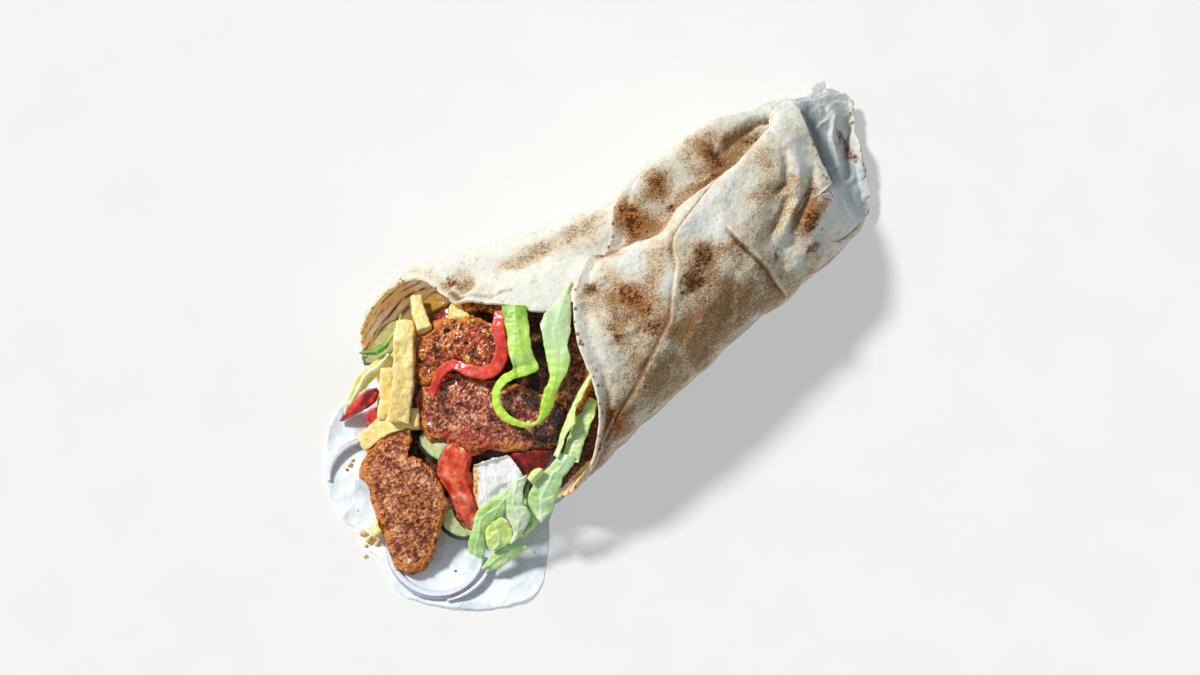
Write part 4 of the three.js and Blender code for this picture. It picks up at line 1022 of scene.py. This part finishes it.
fry_finish, place = new_material("fried potato")
blister = place.mark("blister")
fine = place.cloud(1.1, 3)
browned = (place.mark("edge") + (place.cloud(7, 2) - 0.5) * 1.0 + (fine - 0.5) * 0.4).rise(0.3, 0.9)
golden = (blister * 0.6 + fine).rise(0.1, 0.9).blend(tint(246, 208, 112), tint(254, 234, 166))
golden = (browned * 0.75).blend(golden, tint(226, 164, 66))
crisp_spots = (1 - place.dots(3.4)).rise(0.82, 0.9) * browned
golden = (crisp_spots * 0.7).blend(golden, tint(170, 98, 34))
coat(place, golden, 0.3 + fine * 0.3, place.bump(fine, 0.35), 0.55, film=(0.25, 0.2),
     scatter=(0.15, (1.0, 0.6, 0.2), 0.0015))
FRIES = {
    "long_fry": "fry_long",
    "short_fry": "fry_small",
    "fry_by_the_meat": "fry_lower",
    "fry_behind": "fry_left",
    "fry_end_on_paper": "fry_under_meat",
    "potato_at_the_back": "potato_piece_back",
}
for number, (name, node) in enumerate(FRIES.items()):
    form = Form(node, 0.45, smoothing=9)
    blister = form.noise(2.6, 171 + number, 2)
    form.push(0.3 * blister + 0.9 * form.noise(8, 181 + number) + 0.1)
    form.piece(name, fry_finish, "fries", blister=blister, edge=form.edge(5))


# ---- the tomatoes and the strip of pepper --------------------------------------------
# Ripe tomato cut in wedges: tight glossy skin, and wet flesh with its gel and pale seeds.
# The pepper is one long strip, waxy on its skin, lying in bends over the meat.


def juicy_finish(name, deep, body, pale, wetness, matt=0.16):
    """Wet red flesh or skin, from its deep red gel to its pale walls."""
    material, place = new_material(name)
    wall = place.mark("wall")
    cloudy = place.cloud(3, 3)
    fine = place.cloud(1.0, 2)
    colour = (wall * 0.5 + cloudy).rise(0.25, 0.65).blend(deep, body)
    colour = (wall * 0.6 + cloudy * 0.7 + fine * 0.4).rise(0.7, 1.15).blend(colour, pale)
    coat(place, colour, matt + cloudy * 0.25, place.bump(cloudy * 0.7 + fine * 0.5, 0.5),
         film=(wetness, 0.08), scatter=(0.12, (1.0, 0.25, 0.12), 0.0015))
    return material


flesh = juicy_finish("tomato flesh", tint(206, 44, 18), tint(236, 96, 52), tint(252, 176, 140), 1.0)
skin = juicy_finish("tomato skin", tint(160, 10, 8), tint(206, 26, 16), tint(226, 84, 60), 0.7)
# A darker copy of the tomato for the pieces deep in the roll: painted shade.
jelly = juicy_finish("tomato in the roll", tint(96, 2, 2), tint(150, 8, 6), tint(186, 40, 26), 0.9)
waxy = juicy_finish("red pepper", tint(200, 36, 14), tint(228, 60, 34), tint(240, 118, 90), 0.15,
                    matt=0.42)
JUICY = {
    "tomato_slice_by_the_meat": ("tomato_slice_front", flesh, "tomato", 0.5),
    "tomato_slice_at_the_back": ("tomato_slice_back", jelly, "tomato", 0.3),
    "tomato_wedge_on_paper": ("tomato_wedge_left", skin, "tomato", 0.3),
    "tomato_cube_on_paper": ("tomato_cube_left", skin, "tomato", 0.3),
    "tomato_wedge_at_the_right": ("tomato_wedge_right", jelly, "tomato", 0.3),
    "pepper_strip_over_meat": ("pepper_strip", waxy, "pepper", 0.2),
}
for number, (name, (node, finish, slot, depth)) in enumerate(JUICY.items()):
    form = Form(node, 0.45, smoothing=5)
    wall = form.noise(4.5, 191 + number, 2)
    form.push(depth * wall - 0.1)
    form.piece(name, finish, slot, wall=wall)


# ---- the cucumber and the pickle -----------------------------------------------------
# Round slices cut across: pale wet flesh inside a thin dark-green skin. The pickle is the
# same fruit in brine, so it has gone yellow and olive brown.


def slice_finish(name, flesh_colour, seed_colour, skin_colour):
    """A slice's flesh, its paler seeds, and the skin round its edge."""
    material, place = new_material(name)
    cloudy = place.cloud(2.4, 3)
    colour = cloudy.rise(0.35, 0.65).blend(flesh_colour, seed_colour)
    colour = place.mark("skin").blend(colour, skin_colour)
    coat(place, colour, 0.25 + cloudy * 0.2, place.bump(cloudy, 0.2), film=(0.4, 0.1),
         scatter=(0.2, (0.8, 1.0, 0.4), 0.0015))
    return material


fresh = slice_finish("cucumber", tint(196, 212, 136), tint(226, 234, 178), tint(20, 46, 10))
faded = slice_finish("cucumber in the roll", tint(164, 160, 100), tint(184, 178, 116),
                     tint(70, 80, 30))
brined = slice_finish("pickle", tint(150, 108, 20), tint(172, 138, 40), tint(104, 88, 20))
SLICES = {
    "cucumber_at_the_back": ("cucumber_slice_back", faded, "cucumber"),
    "cucumber_in_front": ("cucumber_slice_front", fresh, "cucumber"),
    "cucumber_in_the_middle": ("cucumber_slice_middle", fresh, "cucumber"),
    "pickle_at_the_back": ("pickle_slice", brined, "pickle"),
}
for number, (name, (node, finish, slot)) in enumerate(SLICES.items()):
    form = Form(node, 0.45, smoothing=5)
    skin_there = soft_step(0.75, 0.5, np.abs(form.normals[:, 2]))
    form.push(0.15 * form.noise(3, 201 + number, 2) - 0.1)
    form.piece(name, finish, slot, skin=skin_there)


# ---- the lettuce ---------------------------------------------------------------------
# Shredded lettuce, from pale crisp ribs to green leaf: thin, veined, torn at the rim and
# folded over itself. One long ribbon turns back under itself into a loop and stands up
# again by the rim of the bread.

LEAF_CELL = 0.42
VEIN_GAP = 4.0
VEIN_SLANT = 0.9
BIT_RIB = ((-113, 12), (-120, 8))
BIT_VEIN_GAP = 4.2
BIT_THINNED = 0.25
STRIP_RIBBON = [
    [-42.1, 16.1, -33.3, 10.3], [-44.7, 9.6, -36.1, 4], [-47.5, 3.2, -39.3, -2.2],
    [-50.8, -3, -42.1, -8.6], [-52.9, -9.6, -43.6, -15.3],
]
STRIP_LOOP = [
    [-56.7, -8.5, -49.2, -15.1], [-60.8, -9, -53, -13.6], [-64.3, -11, -56.9, -12.6],
    [-66.7, -14.4, -60.8, -13.2], [-68.1, -18.3, -63.6, -16], [-68, -22.5, -64.6, -19.9],
    [-66.5, -26.4, -64.1, -23.9], [-64.1, -29.7, -62.4, -27.6], [-60.9, -32.4, -59.8, -30.6],
    [-57.1, -33.9, -56.3, -32.8],
]
STRIP_LEAF = [
    [-52.4, -33.9, -52.7, -30], [-48, -32.3, -49.5, -26.7], [-44.5, -29.3, -45.9, -23.9],
    [-40.7, -26.8, -42, -21.4], [-36.5, -24.6, -40.1, -17.3], [-32.5, -22.1, -38.3, -13],
    [-29.9, -18.7, -36.6, -8.7], [-28.3, -14.5, -34.7, -4.5], [-25.2, -11, -32.9, -0.3],
    [-22.2, -7.4, -29.3, 2.3], [-19.3, -3.7, -25, 3.9], [-17.1, 0.4, -20.6, 5.3],
    [-15, 4.6, -16.2, 6.7], [-11.7, 7.9, -11.9, 8.2],
]


def leaf_finish(name, shade, body, light, vein_colour, young):
    """Leaf tissue between pale veins, with painted light: lighter where its light mark says it
    catches the light, and darker in painted shade.
    """
    material, place = new_material(name)
    vein, light_part = place.mark("vein"), place.mark("light")
    cloudy = place.cloud(2.4, 4)
    shown = light_part + (cloudy - 0.5) * 0.8
    colour = shown.rise(0.0, 0.5).blend(shade, body)
    colour = shown.rise(0.5, 1.0).blend(colour, light)
    colour = place.mark("young").blend(colour, young)
    colour = (vein * 0.55).blend(colour, vein_colour)
    coat(place, colour, 0.34 + cloudy * 0.2, place.bump(cloudy * 1.2 + vein * 0.5, 0.3),
         film=(0.12, 0.2), scatter=(0.3, (0.6, 1.0, 0.2), 0.0012))
    return material


def blade(name, finish, slot, nodes, edges, seed, light, young=((0, 0), (1, 0)), arch=0.7,
          ruffle=0.6, crinkle=0.16, veined=1.0, thick=0.7, stands_in=True):
    """A thin leaf between two edges, [x, y, x, y] across it, at its solids' height."""
    edges = np.array(edges, float)
    steps = np.diff((edges[:, :2] + edges[:, 2:]) / 2, axis=0)
    stations = np.concatenate([[0], np.cumsum(np.hypot(*steps.T).clip(0.3))])
    wide = np.hypot(*(edges[:, 2:] - edges[:, :2]).T)
    rows = int(stations[-1] / LEAF_CELL) + 3
    columns = int(wide.max() / LEAF_CELL) + 5
    along = np.linspace(0, stations[-1], rows)
    rim = [smooth(np.stack([stations, edges[:, k]], axis=1), along) for k in range(4)]
    half = np.hypot(rim[2] - rim[0], rim[3] - rim[1]) / 2
    torn = [0.45 * drift(flat_places(along), 3.4, seed + k, 3) for k in (0, 1)]
    side = np.linspace(-1, 1, columns)[None, :]
    share = (side + 1) / 2
    grow = 1 / (2 * half + 1.5)
    share = share * (1 + (torn[1] * grow)[:, None]) - (torn[0] * grow)[:, None] * (1 - share)
    plan = [rim[k][:, None] * (1 - share) + rim[k + 2][:, None] * share for k in (0, 1)]
    solid = np.vstack([node_points(node) for node in nodes])
    flat = np.stack([plan[0].ravel(), plan[1].ravel()], axis=1)
    near = ((flat[:, None, :] - solid[None, :, :2]) ** 2).sum(axis=2) + 4
    height = (solid[:, 2] / near**2).sum(axis=1) / (1 / near**2).sum(axis=1)
    at = np.stack([flat[:, 0], flat[:, 1], height], axis=1)
    shape = (rows, columns)
    rim_near = np.broadcast_to(np.abs(side) ** 3, shape).ravel()
    along_mm = np.broadcast_to(along[:, None], shape).ravel()
    side_mm = (side * half[:, None]).ravel()
    wander = along_mm + 1.3 * drift(at, 6, seed + 2)
    side_mm = side_mm + 0.8 * drift(at, 7, seed + 3)
    branch = np.abs(((wander - VEIN_SLANT * np.abs(side_mm)) / VEIN_GAP) % 1 - 0.5) * VEIN_GAP
    there = soft_step(-0.3, 0.4, drift(at, 5, seed + 4))
    vein = np.maximum(bell(side_mm, 0.55), there * bell(branch, 0.3)) * veined
    body = np.broadcast_to(1 - side**2, shape).ravel()
    lift = arch * body + ruffle * drift(at, 5.5, seed + 5) * (0.3 + rim_near)
    lift += crinkle * drift(flat_places(along_mm, side_mm / 2.2), 1.4, seed + 6, 2) + 0.15 * vein
    at[:, 2] += lift
    surface = at.reshape(rows, columns, 3)
    facing = np.cross(np.gradient(surface, axis=0), np.gradient(surface, axis=1))
    facing /= np.linalg.norm(facing, axis=2)[..., None] + 1e-9
    flipped = facing[..., 2].mean() < 0
    if flipped:
        facing = -facing
    lifted = facing * (thick / 2 * np.sqrt(1.02 - np.abs(side[..., None]) ** 6))
    # The painted light along the leaf: each stretch is as lit as its table says, with some random
    # tone.
    tone = smooth(light, along_mm / stations[-1]) + 0.3 * drift(at, 6, seed + 7, 2)
    fresh_part = smooth(young, along_mm / stations[-1])
    made = new_piece(
        name,
        np.vstack([(surface + lifted).reshape(-1, 3), (surface - lifted).reshape(-1, 3)]),
        two_faced(rows, columns, flipped),
        vein=np.tile(vein, 2),
        light=np.tile(np.clip(tone, 0, 1), 2),
        young=np.tile(np.clip(fresh_part, 0, 1), 2),
    )
    fit(made, finish, slot, *(nodes if stands_in else []))


green_leaf = leaf_finish("green lettuce", tint(132, 186, 86), tint(192, 230, 142),
                         tint(222, 246, 188), tint(220, 244, 196), tint(196, 230, 100))
pale_leaf = leaf_finish("pale lettuce", tint(160, 208, 122), tint(204, 238, 168),
                        tint(232, 250, 214), tint(240, 250, 228), tint(218, 240, 120))
strip_leaf = leaf_finish("lettuce ribbon", tint(122, 178, 50), tint(178, 218, 90),
                         tint(206, 230, 190), tint(222, 242, 180), tint(188, 230, 60))
blade("lettuce_ribbon_and_loop", strip_leaf, "lettuce_pale", ["lettuce_ribbon", "lettuce_loop"],
      STRIP_RIBBON + STRIP_LOOP + STRIP_LEAF, 220, arch=0.4, ruffle=0.6, crinkle=0.12, veined=0.35,
      light=[[0, 0.1], [0.12, 0.5], [0.25, 0.6], [0.55, 0.5], [0.72, 1.0], [1, 1.2]],
      young=[[0, 0.1], [0.1, 0.2], [0.2, 0.5], [0.26, 1], [0.56, 1], [0.7, 0.7], [0.8, 0.2],
             [1, 0]])
blade("lettuce_leaf_lobed", pale_leaf, "lettuce_pale", ["lettuce_leaf_tip"], [
    [-90.8, -63.8, -90.8, -63.9], [-89.1, -62.6, -87.9, -63.9], [-87.8, -61, -85, -63.5],
    [-86.7, -59.2, -82.3, -62.6], [-86.3, -57.2, -79.8, -61.3], [-86.5, -55.2, -77.5, -59.7],
    [-85.6, -53.3, -77.3, -57.1], [-84.6, -51.4, -78.1, -54.9], [-83.5, -49.7, -76.4, -52.5],
    [-82, -48.2, -74.7, -50.2], [-80.6, -46.7, -72.4, -48.5], [-79.4, -45, -70.2, -46.6],
], 230, [[0, 0.8], [0.5, 0.7], [1, 0.9]])
blade("lettuce_leaf_small", pale_leaf, "lettuce_pale", ["lettuce_leaf_pale"], [
    [-95.6, -52.6, -88.0, -53.0], [-97.2, -53.8, -86.9, -56.0], [-98.4, -55.5, -87.0, -58.7],
    [-99.1, -57.3, -88.7, -62], [-99.4, -59.3, -91, -63.2], [-99, -61.2, -97.7, -62.2],
], 240, [[0, 0.4], [1, 0.6]], young=[[0, 0.9], [1, 0.7]], ruffle=1.2, crinkle=0.3)
blade("lettuce_leaf_at_the_left", green_leaf, "lettuce", ["lettuce_leaf_left"], [
    [-80.1, -45.9, -83.1, -49.4], [-83.6, -45, -85, -51.7], [-87.1, -44.5, -87.5, -53],
    [-90.6, -44.4, -90.5, -53.1], [-94.2, -44.4, -93.4, -52.5], [-97.4, -45.8, -96.1, -53.1],
    [-99.9, -48.3, -98.2, -55.2], [-102.5, -50.8, -99.8, -57.7], [-105.3, -53, -101.5, -60.1],
    [-107.6, -55.6, -103.8, -62],
], 250, [[0, 0.6], [0.5, 0.5], [1, 0.6]], arch=0.9)
blade("lettuce_leaf_pointed", green_leaf, "lettuce", ["lettuce_leaf_low"], [
    [-106.2, -64.4, -106.3, -64.9], [-102.8, -63.1, -103.9, -66.9], [-99.4, -62, -101.1, -68.1],
    [-95.9, -61.5, -98, -68.3], [-92.8, -61.5, -94.9, -68.4], [-89.6, -63, -91.8, -68.6],
    [-86.8, -65, -88.7, -68.8], [-85.6, -68.4, -85.6, -68.8],
], 260, [[0, 0.4], [0.5, 0.7], [1, 0.5]])
blade("lettuce_leaf_at_the_right", pale_leaf, "lettuce", ["lettuce_leaf_right"], [
    [-75.4, -64.7, -75.2, -64.8], [-76.1, -61.1, -72, -64.4], [-76.1, -57.5, -68.8, -64.1],
    [-75.1, -54, -66.4, -62], [-72.1, -52, -63.7, -60.3], [-68.7, -50.7, -61.1, -58.4],
    [-65.1, -49.9, -58.7, -56.4], [-61.5, -49.2, -55.6, -55.6], [-57.9, -48.6, -52.5, -54.6],
    [-54.3, -47.8, -49.7, -53.1],
], 270, [[0, 0.9], [0.2, 0.5], [0.6, 0.5], [1, 0.8]], arch=1.0)
blade("lettuce_leaf_folded", pale_leaf, "lettuce_pale", ["lettuce_leaf_fold"], [
    [-71.3, -48.4, -70.7, -51.6], [-69.9, -47.4, -68.8, -51.3], [-68.3, -47, -66.9, -51],
    [-66.6, -47.2, -65, -50.7], [-65, -47.9, -63.7, -49.6],
], 280, [[0, 0.5], [1, 0.7]], young=[[0, 0.9], [1, 0.9]], arch=1.2)
blade("lettuce_leaf_below", green_leaf, "lettuce", ["lettuce_leaf_under"], [
    [-87.1, -63.3, -86.7, -64.3], [-83.4, -62.6, -82.4, -64.3], [-79.9, -61.1, -78, -63.9],
    [-76.8, -58.9, -75.9, -62.3], [-76.7, -55.4, -76, -58], [-76.4, -52.2, -74.9, -53.7],
    [-73.9, -49.5, -72.4, -50.2], [-70.9, -47.1, -69.3, -47.1],
], 290, [[0, 0.4], [1, 0.1]], young=[[0, 0.5], [1, 0.1]])
blade("lettuce_shred_by_the_rim", pale_leaf, "lettuce_pale", ["lettuce_shred_right"], [
    [-26.5, -28, -25.6, -29.8], [-33.8, -31.6, -32.6, -34], [-40.8, -35.4, -40.2, -38],
    [-45, -38, -42.8, -42], [-49.3, -41, -48, -43.6], [-53.4, -44.6, -52.4, -46.6],
    [-57.3, -47.4, -56, -49.2],
], 310, [[0, 0.4], [1, 0.6]], young=[[0, 1], [0.6, 0.9], [1, 0.5]], arch=0.1, ruffle=1.5,
    crinkle=0.6)
blade("lettuce_shred_below", pale_leaf, "lettuce", ["lettuce_shred_low"], [
    [-31.6, -34.4, -28.8, -38.6], [-40.2, -38.6, -36.2, -44.8], [-47.6, -43.6, -42.8, -49.6],
    [-54.8, -50, -50, -55.4],
], 320, [[0, 0.3], [1, 0.5]], young=[[0, 0.5], [1, 0.1]], arch=0.2, ruffle=1.2, crinkle=0.5,
    thick=0.5)

form = Form("lettuce_tip_left", LEAF_CELL, smoothing=3)
rim_near = form.edge(9)
(ax, ay), (bx, by) = BIT_RIB
length = math.hypot(bx - ax, by - ay)
ux, uy = (bx - ax) / length, (by - ay) / length
dx, dy = form.points[:, 0] - ax, form.points[:, 1] - ay
along = dx * ux + dy * uy + 0.8 * form.noise(7, 330)
across = dy * ux - dx * uy + 0.6 * form.noise(6, 331)
branch = np.abs(((along - VEIN_SLANT * np.abs(across)) / BIT_VEIN_GAP) % 1 - 0.5) * BIT_VEIN_GAP
vein = np.maximum(bell(across, 0.7), 0.7 * bell(branch, 0.32))
form.push(-BIT_THINNED)
sway = np.stack([form.noise(5.5, seed) for seed in (332, 333, 334)], axis=1)
crinkle = 0.12 * form.noise(1.8, 335, 2)
form.points = form.points + sway * (0.8 * (0.25 + 0.75 * rim_near))[:, None]
form.points[:, 2] += crinkle + 0.16 * vein
# Painted light, with some random tone, lighter toward the rim.
light = 0.5 + 0.5 * form.noise(9, 336) + 0.3 * rim_near
form.face_out()
form.piece("lettuce_bit_on_paper", green_leaf, "lettuce", vein=vein, light=np.clip(light, 0, 1),
           young=0 * vein)


# ---- the cabbage and the herb --------------------------------------------------------
# A shred of white cabbage, yellow green and glassy, with a loose strand lying on it, and a
# sprig of fresh herb, one leaf on its stem. Both lie loose by the fries.

cabbage = leaf_finish("white cabbage", tint(196, 190, 70), tint(228, 222, 120),
                      tint(246, 246, 196), tint(250, 250, 226), tint(222, 226, 110))
blade("cabbage_shred_at_the_left", cabbage, "cabbage", ["cabbage_shred_left"], [
    [-120, 24, -118.6, 26], [-113.2, 27.6, -111, 31.6], [-104.3, 28.4, -104, 34],
    [-94.4, 29.6, -94, 34.6], [-87.4, 29.4, -86.8, 33],
], 350, [[0, 0.8], [0.5, 0.3], [1, 0.7]], young=[[0, 0.2], [0.5, 0.7], [1, 0.3]], ruffle=1.2,
    crinkle=0.35)
blade("cabbage_strand_on_the_shred", cabbage, "cabbage", ["cabbage_shred_left"], [
    [-116.4, 25.6, -115.8, 26.8], [-110.6, 27.6, -110.2, 29.6], [-103.4, 30.2, -103.6, 32.4],
    [-96.4, 30.4, -96.8, 32.6], [-90.6, 31.8, -90.8, 33],
], 356, [[0, 1], [1, 1]], arch=2.4, ruffle=1.0, crinkle=0.3, thick=0.9, stands_in=False)
herb_finish = leaf_finish("herb", tint(44, 92, 30), tint(84, 136, 50), tint(140, 184, 84),
                          tint(168, 206, 96), tint(196, 214, 60))
blade("herb_leaf_at_the_left", herb_finish, "herb", ["herb_sprig"], [
    [-88, 36.4, -88, 35.6], [-91, 37.4, -91, 34.6], [-95, 38.8, -94.4, 34.6],
    [-98.6, 40.4, -97.2, 36.8], [-101, 41, -100.6, 40.2],
], 380, [[0, 0.6], [1, 0.4]], thick=0.5)
blade("herb_stem", herb_finish, "herb", ["herb_sprig"], [
    [-77.4, 43.4, -76.6, 42.6], [-81.4, 39.6, -80.6, 38.6], [-86, 37.6, -86, 36.4],
    [-89.4, 36.6, -89.4, 35.6],
], 386, [[0, 0.3], [1, 0.8]], young=[[0, 0], [0.4, 0.9], [1, 0.5]], thick=0.8, ruffle=0.2,
    stands_in=False)


# ---- the onions ----------------------------------------------------------------------
# Raw red onion, cut across into rings: translucent pale lilac layers with a purple skin
# on the outside. One bit of fried onion, golden and glossy, lies by the fries.

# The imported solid, the middle of its rings, their radii and the width of the layer
ONION_RINGS = {
    "onion_ring_in_front": ("onion_ring_front", (-117.5, -45), (20.3, 21.2), 4.2),
    "onion_layer_in_front": ("onion_layer_front", (-116, -45), (24.4, 24.4), 2.4),
    "onion_ring_at_the_left": ("onion_ring_left", (-126, -3), (17, 17.4), 3.4),
}
onion_finish, place = new_material("red onion")
across = place.mark("across")
haze = place.cloud(2.2, 3)
layer = across.rise(-0.9, 0.2).blend(tint(214, 216, 236), tint(240, 242, 252))
layer = (across + (haze - 0.5) * 0.5).rise(0.62, 0.95).blend(layer, tint(196, 180, 214))
layer = (place.mark("line") * 0.75).blend(layer, tint(112, 92, 140))
coat(place, layer, 0.22 + haze * 0.15, place.bump(haze, 0.15), 0.55, film=(0.5, 0.08),
     scatter=(0.3, (0.9, 0.8, 1.0), 0.0015))
for name, (node, middle, radii, width) in ONION_RINGS.items():
    form = Form(node, 0.32, smoothing=2)
    x, y, _ = form.points.T
    away = np.hypot((x - middle[0]) / radii[0], (y - middle[1]) / radii[1])
    side = (away - 1) * radii[0] / (width / 2)
    form.push(0.08 * form.noise(3, 391))
    line = bell(side - 0.55, 0.16) * (form.normals[:, 2] > 0.1)
    form.piece(name, onion_finish, "onion", across=side, line=line)

form = Form("fried_onion_left", 0.4, smoothing=5)
wall = form.noise(3, 395, 2)
form.push(0.35 * wall)
fried = juicy_finish("fried onion", tint(150, 84, 24), tint(200, 138, 62), tint(232, 196, 128), 0.6)
form.piece("fried_onion_at_the_left", fried, "fried_onion", wall=wall)


# ---- the crumbs ----------------------------------------------------------------------
# Crumbs of fried batter, meat and bread that fell on the paper and on the table beside it.
# Each is a lumpy ball of its own size, resting on what is under it.

CRUMBS = {
    "golden_crumbs": ("fries", tint(232, 176, 84), tint(250, 224, 164), [
        (-140.8, -22.1, 2.6), (-139.7, -26, 3.2), (-137.8, -29.2, 2.2), (-142.6, -27.4, 1.4),
        (-145.2, -31.0, 1.6), (-136.0, -25.0, 1.5), (-129.3, 7.1, 1.7), (-127.2, 8.4, 1.3),
    ]),
    "meat_crumbs": ("meat", tint(96, 52, 28), tint(170, 108, 66), [
        (-131.5, 6.0, 1.0), (-137.2, -12.2, 0.6), (-116.0, -58.0, 0.8), (-104.0, -36.5, 0.7),
    ]),
    "bread_crumbs": ("flatbread", tint(232, 220, 194), tint(250, 246, 236), [
        (-83.0, -69.8, 0.8), (-90.8, -71.5, 0.6), (-137.0, -44.0, 0.5),
    ]),
}
for number, (name, (slot, deep, pale, spots)) in enumerate(CRUMBS.items()):
    ball = bmesh.new()
    bmesh.ops.create_icosphere(ball, subdivisions=3, radius=1.0)
    unit = np.array([point.co for point in ball.verts])
    ball_faces = np.array([[corner.index for corner in face.verts] for face in ball.faces])
    ball.free()
    points, faces = [], []
    for k, (x, y, radius) in enumerate(spots):
        dx, dy = x - PAPER_MIDDLE[0], y - PAPER_MIDDLE[1]
        rim_here = np.interp(math.atan2(dy, dx), turns, reach, period=2 * math.pi)
        nearest = np.argmin(np.hypot(paper_top[:, 0] - x, paper_top[:, 1] - y))
        floor = paper_top[nearest, 2] if math.hypot(dx, dy) < rim_here else 0.0
        lumpy = 1 + 0.45 * drift(unit + 7 * k, 0.9, 400 + number, 2)
        crumb = unit * lumpy[:, None] * (radius / 2) * (1.2, 0.9, 0.7)
        crumb[:, 2] += floor - crumb[:, 2].min()
        faces.append(ball_faces + len(unit) * k)
        points.append(crumb + (x, y, 0))
    crumbs = new_piece(name, np.vstack(points), np.vstack(faces))
    crumb_finish, place = new_material(name.replace("_", " "))
    cloudy = place.cloud(0.8, 3)
    baked = cloudy.rise(0.35, 0.65).blend(deep, pale)
    coat(place, baked, 0.5 + cloudy * 0.3, place.bump(cloudy, 0.3), 0.4)
    fit(crumbs, crumb_finish, slot)


size = {"cad": [list(cad_low), list(cad_high)], "visual": [list(v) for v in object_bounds()]}
